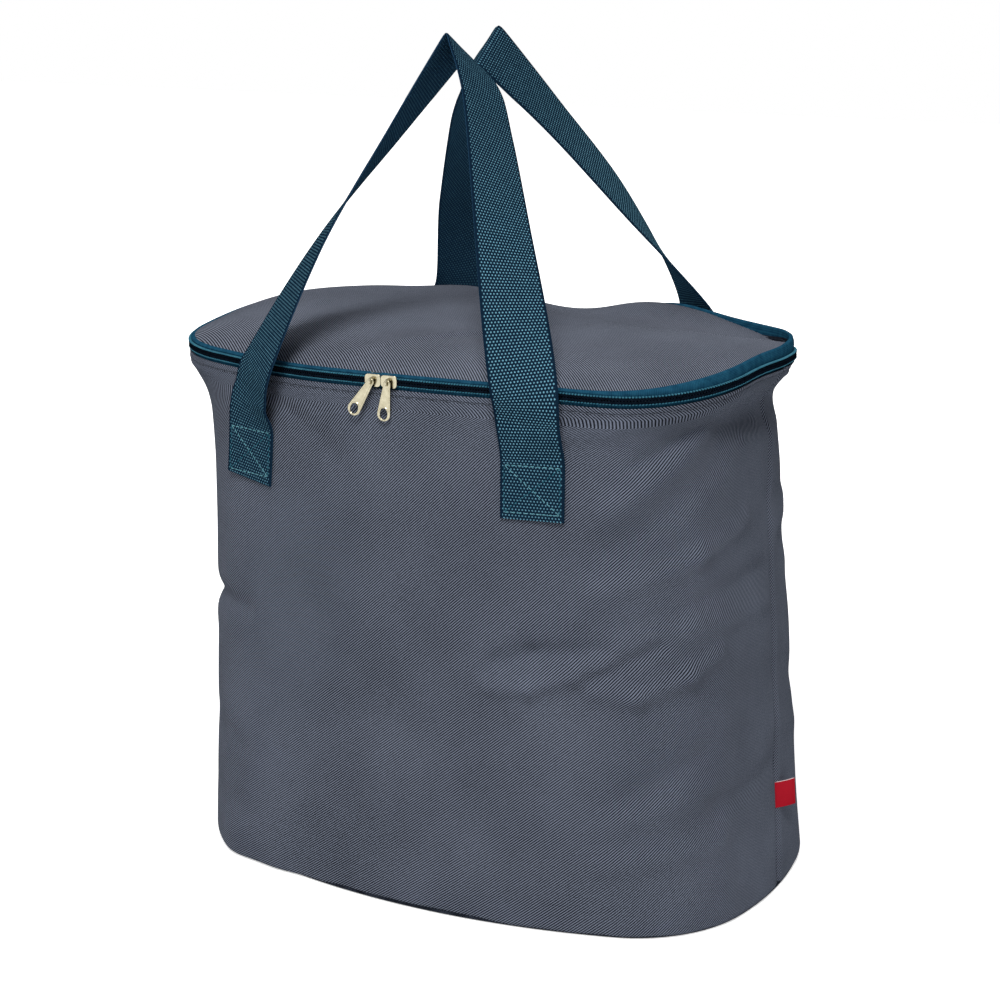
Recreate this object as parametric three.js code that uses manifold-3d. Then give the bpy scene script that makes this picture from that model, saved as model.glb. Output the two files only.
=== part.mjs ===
// Soft cooler bag: oval body, zipped lid hinged at the back, two webbing handles.
// Millimetres, +Z up, the front faces -Y, the floor is z = 0.
import * as THREE from "three";
import { mergeVertices } from "three/addons/utils/BufferGeometryUtils.js";
import Module from "manifold-3d";

const wasm = await Module();
wasm.setup();

// Body
const zipHeight = 366.5; // middle of the zip above the floor
const baseHalfLength = 218;
const baseHalfDepth = 138.5;
const waistDrawIn = 19.5; // the ends are drawn in under the rim
const waistHeight = 320;
const rimDrawIn = 7; // rim inside the base, at the ends
const rimSetBack = 6; // rim inside the base, front and back
const frontRadius = 520; // plan radius of the long sides
const endRadius = 240; // plan radius of the ends
const cornerRadius = 90; // plan radius of the corners
const baseRound = 5; // rounding of the walls into the base
const footTurn = 25; // degrees of that rounding left to the base panel
const hemDepth = 8; // upright hem under the zip
const bodyLean = 8; // the base stands this far right of the rim

// Layers
const cloth = 1.2;
const wallFoam = 6;
const baseFoam = 10;
const lidFoam = 6;
const liner = 0.8;
const gap = 0.3; // clearance between sewn neighbours

// Zip
const zipBand = 11; // height of zip that shows between body and lid
const coilDepth = 2.2;
const coilHeight = 2.1;
const coilHalfGap = 0.9; // room for a slider's post, above and below the middle
const tapeThick = 0.6;
const tapeTuck = 7; // tape sewn behind the hem
const panelSeat = 1; // panels lie this far behind the coil's face
const hingeHalf = 78; // half the width of the unzipped back
const hingeSlack = 0.6; // bare fold above and below the hinge line
const zipStopLength = 3;

// Lid
const lidCrown = 10;
const lidTurn = 3; // rounding of the lid's edge
const lidBindingDeep = 4;

// Straps
const webWidth = 40;
const webThick = 2;
const strapAt = 107; // strap centre from the middle
const boxAboveWaist = 2; // the top line of the sewn box runs along the waist
const boxHeight = 37;
const strapDrawIn = 7; // how far a strand leans in between its box and the lid's edge
const handleRise = 181; // apex above the height where the strands leave the rim
const frontApex = 18; // apex in front of the middle
const backApex = 32; // apex behind the middle

// Sliders and pulls
const sliderLength = 11.6;
const sliderMeet = -0.2; // where the two sliders meet, right of the middle
const sliderHalf = 4; // half the height of a slider's plates
const sliderPlate = 1.2;
const eyeRadius = 1.5;
const lugWall = 0.8;
const lugThick = 1.2;
const pullLength = 26;
const pullWidth = 7.4;
const pullThick = 1.2;
const leftPullSlant = 35; // degrees, as the pulls hang
const rightPullSlant = 9;

// Tag
const tagLength = 16;
const tagHeight = 18;
const tagThick = 1;
const tagBottom = 52;
const tagLean = 38; // degrees from the end face

// Derived sizes and heights
const waistHalfLength = baseHalfLength - waistDrawIn;
const rimHalfLength = baseHalfLength - rimDrawIn;
const rimHalfDepth = baseHalfDepth - rimSetBack;
const boxTop = waistHeight + boxAboveWaist;
const bodyTop = zipHeight - zipBand / 2;
const hemBottom = bodyTop - hemDepth;
const lidEdge = zipHeight + zipBand / 2;
const foot = THREE.MathUtils.degToRad(footTurn);
const linerFloor = cloth + gap + baseFoam + gap;

const colours = {
  body: 0x5a606c, lid: 0x666a74, strap: 0x1e495c, tape: 0x2d6380, coil: 0x20303c, metal: 0xbab49f,
  tag: 0xb4242f, liner: 0xc6c9cd, foam: 0xeceae4, binding: 0x30363f,
};

const group = new THREE.Group();
group.name = "cooler_bag";

function material(colour, roughness, metalness = 0) {
  return new THREE.MeshStandardMaterial({ color: colour, roughness, metalness });
}

function add(name, geometry, surface, parent = group) {
  const mesh = new THREE.Mesh(geometry, surface);
  mesh.name = name;
  parent.add(mesh);
  return mesh;
}

const fabric = material(colours.body, 0.85);
const lidFabric = material(colours.lid, 0.85);
const webbing = material(colours.strap, 0.8);
const tapeCloth = material(colours.tape, 0.75);
const coilPlastic = material(colours.coil, 0.45);
const metal = material(colours.metal, 0.3, 0.9);
const tagCloth = material(colours.tag, 0.7);
const linerFilm = material(colours.liner, 0.4);
const foam = material(colours.foam, 0.9);
const bindingCloth = material(colours.binding, 0.8);

// Closed surface from points and triangles, turned outwards.
function solid(points, triangles) {
  let volume = 0;
  for (const [a, b, c] of triangles) {
    volume += points[a].dot(points[b].clone().cross(points[c]));
  }
  const index = [];
  for (const [a, b, c] of triangles) {
    index.push(a, ...(volume > 0 ? [b, c] : [c, b]));
  }
  const geometry = new THREE.BufferGeometry();
  const flat = points.flatMap((p) => p.toArray());
  geometry.setAttribute("position", new THREE.Float32BufferAttribute(flat, 3));
  geometry.setIndex(index);
  geometry.computeVertexNormals();
  return geometry;
}

// Solid through a row of closed sections. A section is its outer points, then its inner ones backwards,
// so each end closes with a strip of quads.
function loft(sections, ring = false) {
  const n = sections[0].length;
  const triangles = [];
  const quad = (a, b, c, d) => triangles.push([a, b, c], [a, c, d]);
  const last = ring ? sections.length : sections.length - 1;
  for (let i = 0; i < last; i++) {
    const here = i * n;
    const next = ((i + 1) % sections.length) * n;
    for (let j = 0; j < n; j++) {
      const k = (j + 1) % n;
      quad(here + j, here + k, next + k, next + j);
    }
  }
  if (!ring) {
    const end = (sections.length - 1) * n;
    for (let j = 0; j < n / 2 - 1; j++) {
      quad(n - 1 - j, n - 2 - j, j + 1, j);
      quad(end + j, end + j + 1, end + n - 2 - j, end + n - 1 - j);
    }
  }
  return solid(sections.flat(), triangles);
}

// Solid through a stack of closed rings, with a point at each end.
function stack(top, rings, bottom) {
  const n = rings[0].length;
  const points = [...rings.flat(), top, bottom];
  const triangles = [];
  for (let j = 0; j < n; j++) {
    const k = (j + 1) % n;
    triangles.push([points.length - 2, j, k]);
    for (let i = 0; i < rings.length - 1; i++) {
      triangles.push([i * n + j, (i + 1) * n + j, (i + 1) * n + k]);
      triangles.push([i * n + j, (i + 1) * n + k, i * n + k]);
    }
    const end = (rings.length - 1) * n;
    triangles.push([points.length - 1, end + k, end + j]);
  }
  return solid(points, triangles);
}

// Plan outline: a long arc, a corner arc and an end arc, all tangent, in one quarter of the oval.
function quarter(halfLength, halfDepth, sideX, sideY, fromX = 0, toX = null) {
  const side = new THREE.Vector2(0, halfDepth - frontRadius);
  const end = new THREE.Vector2(halfLength - endRadius, 0);
  const reachSide = frontRadius - cornerRadius;
  const reachEnd = endRadius - cornerRadius;
  const apart = end.distanceTo(side);
  const along = end.clone().sub(side).divideScalar(apart);
  const foot = (reachSide ** 2 - reachEnd ** 2 + apart ** 2) / (2 * apart);
  const off = Math.sqrt(reachSide ** 2 - foot ** 2);
  const corner = new THREE.Vector2(
    side.x + along.x * foot + along.y * off,
    side.y + along.y * foot - along.x * off,
  );
  const turnSide = corner.clone().sub(side).angle();
  const turnEnd = corner.clone().sub(end).angle();
  const start = Math.acos(fromX / frontRadius);
  const arcs = [
    { centre: side, radius: frontRadius, from: start, to: turnSide, steps: 5 },
    { centre: corner, radius: cornerRadius, from: turnSide, to: turnEnd, steps: 6 },
    { centre: end, radius: endRadius, from: turnEnd, to: gap / 2 / endRadius, steps: 2 },
  ];
  if (toX !== null) {
    arcs.length = 1;
    arcs[0].to = Math.acos(toX / frontRadius);
    arcs[0].steps = 4;
  }
  const stations = [];
  for (const arc of arcs) {
    const first = stations.length ? 1 : 0;
    for (let i = first; i <= arc.steps; i++) {
      const angle = arc.from + ((arc.to - arc.from) * i) / arc.steps;
      const out = new THREE.Vector2(sideX * Math.cos(angle), sideY * Math.sin(angle));
      stations.push({ x: sideX * arc.centre.x, y: sideY * arc.centre.y, radius: arc.radius, out });
    }
  }
  return stations;
}

function halfRun(halfLength, halfDepth, sideY) {
  const right = quarter(halfLength, halfDepth, 1, sideY);
  const left = quarter(halfLength, halfDepth, -1, sideY);
  return [...left.reverse(), ...right.slice(1)];
}

function ringRun(halfLength, halfDepth) {
  return [...halfRun(halfLength, halfDepth, -1), ...halfRun(halfLength, halfDepth, 1).reverse()];
}

function zipRun() {
  const backRight = quarter(rimHalfLength, rimHalfDepth, 1, 1, hingeHalf);
  const backLeft = quarter(rimHalfLength, rimHalfDepth, -1, 1, hingeHalf);
  return [...backRight, ...halfRun(rimHalfLength, rimHalfDepth, -1).reverse(), ...backLeft.reverse()];
}

function hingeRun() {
  const reach = hingeHalf - gap;
  const right = quarter(rimHalfLength, rimHalfDepth, 1, 1, 0, reach);
  const left = quarter(rimHalfLength, rimHalfDepth, -1, 1, 0, reach);
  return [...left.reverse(), ...right.slice(1)];
}

function place(station, inset, z) {
  const r = station.radius - inset;
  return new THREE.Vector3(station.x + station.out.x * r, station.y + station.out.y * r, z);
}

// A band of even section along a plan run.
function band(run, insetOut, insetIn, low, high, ring = false) {
  const sections = run.map((s) => [
    place(s, insetOut, low), place(s, insetOut, high), place(s, insetIn, high), place(s, insetIn, low),
  ]);
  return loft(sections, ring);
}

// Half length and half depth of the outer face at a height.
function lengthAt(z) {
  if (z <= waistHeight) {
    return waistHalfLength + (baseHalfLength - waistHalfLength) * ((waistHeight - z) / waistHeight) ** 1.6;
  }
  const rise = Math.min(1, (z - waistHeight) / (hemBottom - waistHeight));
  return waistHalfLength + (rimHalfLength - panelSeat - waistHalfLength) * rise ** 2;
}

function depthAt(z) {
  const rise = Math.min(1, z / hemBottom);
  return baseHalfDepth + (rimHalfDepth - panelSeat - baseHalfDepth) * rise;
}

// How far the body leans to the right at a height: all of it at the base, nothing at the hem.
function leanAt(z) {
  return bodyLean * (1 - Math.min(1, z / hemBottom) ** 3);
}

// Wall levels: the rounded foot if the wall starts at the floor, then up to the top.
function wallLevels(from, to) {
  const levels = [];
  if (from === 0) {
    for (let i = 0; i < 3; i++) {
      const turn = foot + ((Math.PI / 2 - foot) * i) / 3;
      levels.push({ inset: baseRound * (1 - Math.sin(turn)), z: baseRound * (1 - Math.cos(turn)), turn });
    }
  }
  const start = Math.max(from, baseRound);
  const knee = Math.min(to, hemBottom);
  const heights = [];
  for (let i = 0; i < 4; i++) {
    heights.push(start + ((waistHeight - start) * i) / 4);
  }
  for (let i = 0; i <= 4; i++) {
    heights.push(waistHeight + ((knee - waistHeight) * i) / 4);
  }
  if (to > hemBottom) {
    heights.push(to);
  }
  for (const z of heights) {
    levels.push({ inset: 0, z, turn: Math.PI / 2 });
  }
  return levels;
}

function leaned(point, z) {
  return point.setX(point.x + leanAt(z));
}

// Wall layer between two depths under the outer face.
function wall(run, levels, outer, inner) {
  const face = (depth) => levels.map((level) => {
    const stations = run(lengthAt(level.z), depthAt(level.z));
    const inset = level.inset + depth * Math.sin(level.turn);
    const z = level.z + depth * Math.cos(level.turn);
    return stations.map((s) => leaned(place(s, inset, z), level.z));
  });
  const outside = face(outer);
  const inside = face(inner).reverse();
  return outside[0].map((_, i) => [...outside.map((row) => row[i]), ...inside.map((row) => row[i])]);
}

const frontHalf = (halfLength, halfDepth) => halfRun(halfLength, halfDepth, -1);
const backHalf = (halfLength, halfDepth) => halfRun(halfLength, halfDepth, 1);

// Walls
const foamFace = cloth + gap;
const linerFace = foamFace + wallFoam + gap;
const foamTop = hemBottom - gap;
add("front_outer_panel", loft(wall(frontHalf, wallLevels(0, bodyTop), 0, cloth)), fabric);
add("back_outer_panel", loft(wall(backHalf, wallLevels(0, bodyTop), 0, cloth)), fabric.clone());
const foamLevels = wallLevels(linerFloor, foamTop);
add("front_foam", loft(wall(frontHalf, foamLevels, foamFace, foamFace + wallFoam)), foam);
add("back_foam", loft(wall(backHalf, foamLevels, foamFace, foamFace + wallFoam)), foam.clone());
const linerLevels = wallLevels(linerFloor + liner + gap, foamTop);
add("wall_liner", loft(wall(ringRun, linerLevels, linerFace, linerFace + liner), true), linerFilm);

// Base
function plate(low, high, insetLow, insetHigh) {
  const at = (inset, z) => ringRun(lengthAt(0), depthAt(0)).map((s) => leaned(place(s, inset, z), 0));
  const middle = (z) => new THREE.Vector3(leanAt(0), 0, z);
  return stack(middle(high), [at(insetHigh, high), at(insetLow, low)], middle(low));
}
const footInset = baseRound * (1 - Math.sin(foot));
const baseInset = footInset + cloth * 0.5;
const foamFoot = baseInset + cloth;
const foamShoulder = foamFace + 2 * gap + (lengthAt(0) - lengthAt(linerFloor));
add("base_outer_panel", plate(0, cloth, baseInset, baseInset), fabric.clone());
add("base_foam", plate(cloth + gap, linerFloor - gap, foamFoot, foamShoulder), foam.clone());
const linerEdge = linerFace + (lengthAt(0) - lengthAt(linerFloor)) + gap / 2;
add("base_liner", plate(linerFloor, linerFloor + liner, linerEdge, linerEdge), linerFilm.clone());

// Zip, rim and hinge on the body
const tapeFace = coilDepth + gap;
const tapeBack = tapeFace + tapeThick;
const rimRing = ringRun(rimHalfLength, rimHalfDepth);
const lowerCoilTop = zipHeight - coilHalfGap;
const lowerCoilLow = lowerCoilTop - coilHeight;
const tapeLow = bodyTop - tapeTuck;
const lowerStripTop = zipHeight - hingeSlack;
add("lower_zip_coil", band(zipRun(), 0, coilDepth, lowerCoilLow, lowerCoilTop), coilPlastic);
add("lower_zip_tape", band(zipRun(), tapeFace, tapeBack, tapeLow, lowerCoilTop), tapeCloth);
add("lower_hinge_strip", band(hingeRun(), tapeFace, tapeBack, tapeLow, lowerStripTop), fabric.clone());
const bindingDeep = panelSeat + linerFace + liner;
const bindingHigh = bodyTop - sliderHalf - 2 * gap;
add("rim_binding", band(rimRing, tapeBack + gap, bindingDeep, hemBottom, bindingHigh, true), bindingCloth);

// Zip stops: a short crimp round the lower coil at each back end
function zipStop(side) {
  const reach = hingeHalf - gap;
  const run = quarter(rimHalfLength, rimHalfDepth, side, 1, reach - zipStopLength, reach);
  return band(run, 0, coilDepth, lowerCoilLow, lowerCoilTop);
}
add("left_zip_stop", zipStop(-1), metal);
add("right_zip_stop", zipStop(1), metal.clone());

// Lid
const lid = new THREE.Group();
lid.name = "lid";
group.add(lid);
const shoulder = panelSeat + lidTurn; // inset where the rounded edge meets the crown
const crownFoot = lidEdge + lidTurn;
function crownRings(inset, drop, steps) {
  const rings = [];
  for (let i = steps; i >= 1; i--) {
    const share = i / steps;
    const z = crownFoot - drop + lidCrown * (1 - share ** 2);
    rings.push(rimRing.map((s) => place(s, inset, z).multiply(new THREE.Vector3(share, share, 1))));
  }
  return rings;
}
const crownTop = (drop) => new THREE.Vector3(0, 0, crownFoot - drop + lidCrown);
const edgeRing = (inset, z) => rimRing.map((s) => place(s, inset, z));
const lidTurnIn = lidTurn - cloth;
const bevel = Math.SQRT1_2;
const lidRings = [
  ...crownRings(shoulder, 0, 5).reverse(),
  edgeRing(shoulder - lidTurn * bevel, lidEdge + lidTurn * bevel),
  edgeRing(shoulder - lidTurn, lidEdge),
  edgeRing(shoulder - lidTurnIn, lidEdge),
  edgeRing(shoulder - lidTurnIn * bevel, lidEdge + lidTurnIn * bevel),
  ...crownRings(shoulder, cloth, 5),
];
add("lid_outer_panel", stack(crownTop(0), lidRings, crownTop(cloth)), lidFabric, lid);
const upperCoilLow = zipHeight + coilHalfGap;
const upperCoilTop = upperCoilLow + coilHeight;
const upperTapeTop = lidEdge + gap;
const upperStripLow = zipHeight + hingeSlack;
add("upper_zip_coil", band(zipRun(), 0, coilDepth, upperCoilLow, upperCoilTop), coilPlastic.clone(), lid);
const upperTape = band(zipRun(), tapeFace, tapeBack, upperCoilLow, upperTapeTop);
add("upper_zip_tape", upperTape, tapeCloth.clone(), lid);
const upperStrip = band(hingeRun(), tapeFace, tapeBack, upperStripLow, upperTapeTop);
add("upper_hinge_strip", upperStrip, lidFabric.clone(), lid);
const lidBindingIn = tapeBack + gap + sliderPlate + 2 * gap;
const lidFoamEdge = lidBindingIn + lidBindingDeep + gap;
function crownPlate(inset, dropTop, dropLow) {
  const rings = [...crownRings(inset, dropTop, 4).reverse(), ...crownRings(inset, dropLow, 4)];
  return stack(crownTop(dropTop), rings, crownTop(dropLow));
}
const foamDrop = cloth + 2 * gap;
add("lid_foam", crownPlate(lidFoamEdge, foamDrop, foamDrop + lidFoam), foam.clone(), lid);
const lidLinerDrop = foamDrop + lidFoam + gap;
add("lid_liner", crownPlate(lidFoamEdge, lidLinerDrop, lidLinerDrop + liner), linerFilm.clone(), lid);
const lidBindingLow = crownFoot - lidLinerDrop - liner;
const lidBindingHigh = crownFoot - foamDrop;
const lidEdging = band(rimRing, lidBindingIn, lidFoamEdge - gap, lidBindingLow, lidBindingHigh, true);
add("lid_binding", lidEdging, bindingCloth.clone(), lid);

// Straps: each end is sewn flat on a panel, and the loop starts at the box's top line
const webFace = gap; // sewn ends lie this far off the panel
function strapEnd(sideX, sideY) {
  const heights = [0, 1, 2, 3].map((i) => boxTop - boxHeight + (boxHeight * i) / 3);
  const rows = (depth) => heights.map((z) => {
    const near = strapAt - webWidth / 2 - sideX * leanAt(z);
    const reach = quarter(lengthAt(z), depthAt(z), sideX, sideY, near, near + webWidth);
    return reach.map((s) => leaned(place(s, depth, z), z));
  });
  const outside = rows(-webFace - webThick);
  const inside = rows(-webFace).reverse();
  return loft(outside[0].map((_, i) => [...outside.map((r) => r[i]), ...inside.map((r) => r[i])]));
}
for (const [face, sideY] of [["front", -1], ["back", 1]]) {
  for (const [side, sideX] of [["left", -1], ["right", 1]]) {
    add(`${face}_${side}_strap_end`, strapEnd(sideX, sideY), webbing.clone());
  }
}

// One strand, as if on the right, from the box's top line over the zip, then leaning in to the apex.
// In a form, bend is the radius at the apex, bulge how far the strand bows outwards on its way, lean how
// it comes inwards, and the width directions are those midway and at the apex.
const leanStart = crownFoot + webThick;
function strand(sideX, sideY, form) {
  const outward = (x) => {
    const turn = Math.acos(x / frontRadius);
    return new THREE.Vector3(Math.cos(turn), sideY * Math.sin(turn), 0);
  };
  const onFace = (x, z, off) => {
    const depth = z < hemBottom ? depthAt(z) : rimHalfDepth;
    const shift = sideX * leanAt(z);
    const centre = new THREE.Vector3(shift, sideY * (depth - frontRadius), z);
    return centre.addScaledVector(outward(x - shift), frontRadius + off);
  };
  const wallWidth = new THREE.Vector3(0, 0, -1).cross(outward(strapAt));
  const middles = [];
  const widths = [];
  const low = boxTop + gap;
  const clearOff = webFace + webThick;
  for (let i = 0; i <= 4; i++) {
    const share = i / 4;
    const z = low + (leanStart - low) * share;
    const off = webFace + webThick / 2 + (clearOff - webFace) * Math.min(1, 2 * share) * 0.5;
    const x = strapAt - strapDrawIn * share ** 2;
    middles.push(onFace(x, z, z < hemBottom ? off : off + gap));
    widths.push(wallWidth.clone());
  }
  const start = middles[4];
  const rise = handleRise - form.bend;
  const away = Math.hypot(start.x, rise);
  const slope = Math.atan2(start.x, rise) - Math.asin(form.bend / away);
  const straight = Math.sqrt(away ** 2 - form.bend ** 2);
  const length = straight + form.bend * (Math.PI / 2 - slope);
  const leg = (run) => {
    const bow = form.bulge * Math.sin((Math.PI * run) / straight) ** 2;
    return [start.x - run * Math.sin(slope) + bow, run * Math.cos(slope)];
  };
  const arch = (run) => {
    const turn = slope + (run - straight) / form.bend;
    return [form.bend * Math.cos(turn), rise + form.bend * Math.sin(turn)];
  };
  const legSteps = 15;
  const archSteps = 6;
  for (let i = 1; i <= legSteps + archSteps; i++) {
    const onLeg = i <= legSteps;
    const run = onLeg ? (straight * i) / legSteps
      : straight + ((length - straight) * (i - legSteps)) / archSteps;
    const share = run / length;
    const [x, up] = onLeg ? leg(run) : arch(run);
    const lean = 1 - (1 - share) ** form.lean;
    middles.push(new THREE.Vector3(x, start.y + (form.apex - start.y) * lean, start.z + up));
    const blend = wallWidth.clone().multiplyScalar((1 - share) ** 2);
    blend.addScaledVector(form.widthMid, 2 * share * (1 - share));
    blend.addScaledVector(form.widthApex, share ** 2);
    widths.push(blend);
  }
  return { middles, widths };
}

function handleLoop(sideY, form) {
  const left = strand(-1, sideY, form);
  const right = strand(1, sideY, form);
  const mirror = (v) => new THREE.Vector3(-v.x, v.y, v.z);
  const middles = [...left.middles.map(mirror), ...right.middles.slice(0, -1).reverse()];
  const widths = [...left.widths.map(mirror), ...right.widths.slice(0, -1).reverse()];
  const across = [-1, -0.5, 0, 0.5, 1];
  const sections = middles.map((middle, i) => {
    const before = middles[Math.max(0, i - 1)];
    const after = middles[Math.min(middles.length - 1, i + 1)];
    const tangent = after.clone().sub(before).normalize();
    if (i === 0 || i === middles.length - 1) {
      tangent.set(0, 0, Math.sign(tangent.z));
    }
    const width = widths[i].clone().addScaledVector(tangent, -tangent.dot(widths[i])).normalize();
    const face = tangent.clone().cross(width).normalize();
    const row = (t) => across.map((w) => {
      const point = middle.clone().addScaledVector(width, (w * webWidth) / 2);
      return point.addScaledVector(face, (t * webThick) / 2);
    });
    return [...row(1), ...row(-1).reverse()];
  });
  return loft(sections);
}
const frontForm = {
  apex: -frontApex,
  bend: 26,
  bulge: 8,
  lean: 1.1,
  widthMid: new THREE.Vector3(-0.6, -0.97, 0.07),
  widthApex: new THREE.Vector3(0, -0.78, 0.63),
};
const backForm = {
  apex: backApex,
  bend: 30,
  bulge: 13,
  lean: 1.65,
  widthMid: new THREE.Vector3(0.35, -1.5, -0.35),
  widthApex: new THREE.Vector3(0, -0.2, -0.98),
};
add("front_handle_loop", handleLoop(-1, frontForm), webbing.clone());
add("back_handle_loop", handleLoop(1, backForm), webbing.clone());

// Sliders and pulls, built at the middle of the front and turned about the front arc's centre
function manifold(geometry) {
  geometry.deleteAttribute("normal");
  geometry.deleteAttribute("uv");
  const merged = mergeVertices(geometry, 1e-4);
  const vertProperties = new Float32Array(merged.attributes.position.array);
  const triVerts = new Uint32Array(merged.index.array);
  return new wasm.Manifold(new wasm.Mesh({ numProp: 3, vertProperties, triVerts }));
}

function joined(geometries) {
  let whole = manifold(geometries[0]);
  for (const geometry of geometries.slice(1)) {
    whole = whole.add(manifold(geometry));
  }
  const mesh = whole.getMesh();
  const geometry = new THREE.BufferGeometry();
  geometry.setAttribute("position", new THREE.Float32BufferAttribute(mesh.vertProperties, 3));
  geometry.setIndex([...mesh.triVerts]);
  geometry.computeVertexNormals();
  return geometry;
}

function roundedPlate(width, height, corner, thick) {
  const shape = new THREE.Shape();
  const x = width / 2 - corner;
  const y = height / 2 - corner;
  shape.absarc(x, y, corner, 0, Math.PI / 2);
  shape.absarc(-x, y, corner, Math.PI / 2, Math.PI);
  shape.absarc(-x, -y, corner, Math.PI, 1.5 * Math.PI);
  shape.absarc(x, -y, corner, 1.5 * Math.PI, 2 * Math.PI);
  return new THREE.ExtrudeGeometry(shape, { depth: thick, bevelEnabled: false, curveSegments: 5 });
}

// Local frame of a slider: x along the zip, y outwards is negative, z up, origin at the coil's face.
const outerFace = -gap; // inset of the outer plate's back
const eyeOut = outerFace - sliderPlate - eyeRadius - gap;
function sliderBody(nose) {
  const upright = new THREE.Matrix4().makeRotationX(Math.PI / 2);
  const outer = roundedPlate(sliderLength, 2 * sliderHalf, 2.6, sliderPlate).applyMatrix4(upright);
  outer.translate(0, outerFace, 0);
  const inner = roundedPlate(sliderLength, 2 * sliderHalf, 2.6, sliderPlate).applyMatrix4(upright);
  inner.translate(0, tapeBack + gap + sliderPlate, 0);
  const postDeep = tapeBack + 2 * gap + sliderPlate;
  const post = new THREE.BoxGeometry(2.4, postDeep, 2 * (coilHalfGap - gap));
  post.translate(nose * (sliderLength / 2 - 2), postDeep / 2 - gap - sliderPlate / 2, 0);
  const lugShape = new THREE.Shape();
  lugShape.absarc(0, 0, eyeRadius + lugWall, 0, Math.PI);
  lugShape.lineTo(-eyeRadius - lugWall, eyeOut - outerFace + sliderPlate / 2);
  lugShape.lineTo(eyeRadius + lugWall, eyeOut - outerFace + sliderPlate / 2);
  const eye = new THREE.Path();
  eye.absarc(0, 0, eyeRadius, 0, 2 * Math.PI);
  lugShape.holes.push(eye);
  const lugForm = { depth: lugThick, bevelEnabled: false, curveSegments: 12 };
  const lug = new THREE.ExtrudeGeometry(lugShape, lugForm);
  lug.translate(0, 0, -lugThick / 2);
  const axes = new THREE.Matrix4().makeBasis(
    new THREE.Vector3(0, 0, 1), new THREE.Vector3(0, -1, 0), new THREE.Vector3(1, 0, 0),
  );
  lug.applyMatrix4(axes);
  lug.translate(0, eyeOut, 0);
  return joined([outer, inner, post, lug]);
}

function pullPlate(slant) {
  const half = pullWidth / 2;
  const arm = half - 0.3; // the upper end is a little narrower
  const bar = 0.6; // half the height of the bar in the slider's eye
  const slotHalf = 2;
  const slotDeep = 3.2;
  const shape = new THREE.Shape();
  shape.moveTo(-arm, -1.4);
  shape.quadraticCurveTo(-arm, bar, -arm + 2, bar);
  shape.lineTo(arm - 2, bar);
  shape.quadraticCurveTo(arm, bar, arm, -1.4);
  shape.lineTo(half, -pullLength + half);
  shape.absarc(0, -pullLength + half, half, 0, -Math.PI, true);
  shape.closePath();
  const slot = new THREE.Path();
  slot.moveTo(-slotHalf, -bar - slotDeep);
  slot.lineTo(slotHalf, -bar - slotDeep);
  slot.lineTo(slotHalf, -bar);
  slot.lineTo(-slotHalf, -bar);
  slot.closePath();
  const oval = new THREE.Path();
  oval.absellipse(0, -pullLength + half + 0.6, half - 1.3, half - 0.4, 0, 2 * Math.PI);
  shape.holes.push(slot, oval);
  const plateForm = { depth: pullThick, bevelEnabled: false, curveSegments: 12 };
  const plate = new THREE.ExtrudeGeometry(shape, plateForm);
  plate.translate(0, 0, -pullThick / 2);
  plate.rotateX(Math.PI / 2);
  plate.rotateY(THREE.MathUtils.degToRad(slant));
  plate.translate(0, eyeOut, 0);
  return plate;
}

function slider(name, side, slant) {
  const holder = new THREE.Group();
  holder.name = `${name}_slider_place`;
  holder.position.set(0, frontRadius - rimHalfDepth, zipHeight);
  holder.rotation.z = Math.asin((sliderMeet + (side * (sliderLength + gap)) / 2) / frontRadius);
  const front = new THREE.Group();
  front.position.y = -frontRadius;
  holder.add(front);
  group.add(holder);
  add(`${name}_slider`, sliderBody(-side), metal.clone(), front);
  add(`${name}_pull`, pullPlate(slant), metal.clone(), front);
}
slider("left", -1, leftPullSlant);
slider("right", 1, rightPullSlant);

// Tag in the right end seam, leaning back along the end
const lean = THREE.MathUtils.degToRad(tagLean);
const tagPlate = new THREE.BoxGeometry(tagLength, tagThick, tagHeight);
tagPlate.translate(tagLength / 2, 0, 0);
const tag = add("side_tag", tagPlate, tagCloth);
tag.rotation.z = Math.PI / 2 - lean;
const tagRoot = lengthAt(tagBottom) + leanAt(tagBottom) + gap + tagThick / 2;
tag.position.set(tagRoot, 0, tagBottom + tagHeight / 2);

export default group;
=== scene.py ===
# %% [markdown]
# # A soft cooler bag
# The solids of the bag are exact but stiff. Here each soft one is dressed: walls that lean and crease,
# a lid that sags, webbing that twists, a zip with its coils. Everything is worked out in millimetres
# with numpy and put into meshes in metres, in the frame of the solids.

# %% The frame
import bpy
import numpy as np
from mathutils import Matrix


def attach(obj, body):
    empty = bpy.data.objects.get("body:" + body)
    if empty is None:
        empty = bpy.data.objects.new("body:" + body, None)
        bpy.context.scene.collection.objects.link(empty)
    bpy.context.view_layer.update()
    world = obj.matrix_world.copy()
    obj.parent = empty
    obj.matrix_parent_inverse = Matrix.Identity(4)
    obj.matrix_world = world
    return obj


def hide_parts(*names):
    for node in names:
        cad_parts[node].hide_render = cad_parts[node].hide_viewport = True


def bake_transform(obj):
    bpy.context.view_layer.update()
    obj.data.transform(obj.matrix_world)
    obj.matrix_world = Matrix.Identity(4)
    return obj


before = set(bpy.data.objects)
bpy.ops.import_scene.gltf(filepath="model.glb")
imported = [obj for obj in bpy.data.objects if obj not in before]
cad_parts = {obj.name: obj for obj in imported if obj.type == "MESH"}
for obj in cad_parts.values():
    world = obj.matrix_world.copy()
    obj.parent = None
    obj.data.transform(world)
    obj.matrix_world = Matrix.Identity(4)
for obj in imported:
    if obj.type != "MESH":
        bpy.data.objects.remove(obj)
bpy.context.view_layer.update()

# %% [markdown]
# ## Camera
# A camera can be placed by eye, or worked out from straight facts. Here the webbing's 40 mm and the
# outlines of rim and base gave the angles, the distance and the lens, so the frame only needs a small
# shift to crop as the photograph does.

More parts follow.
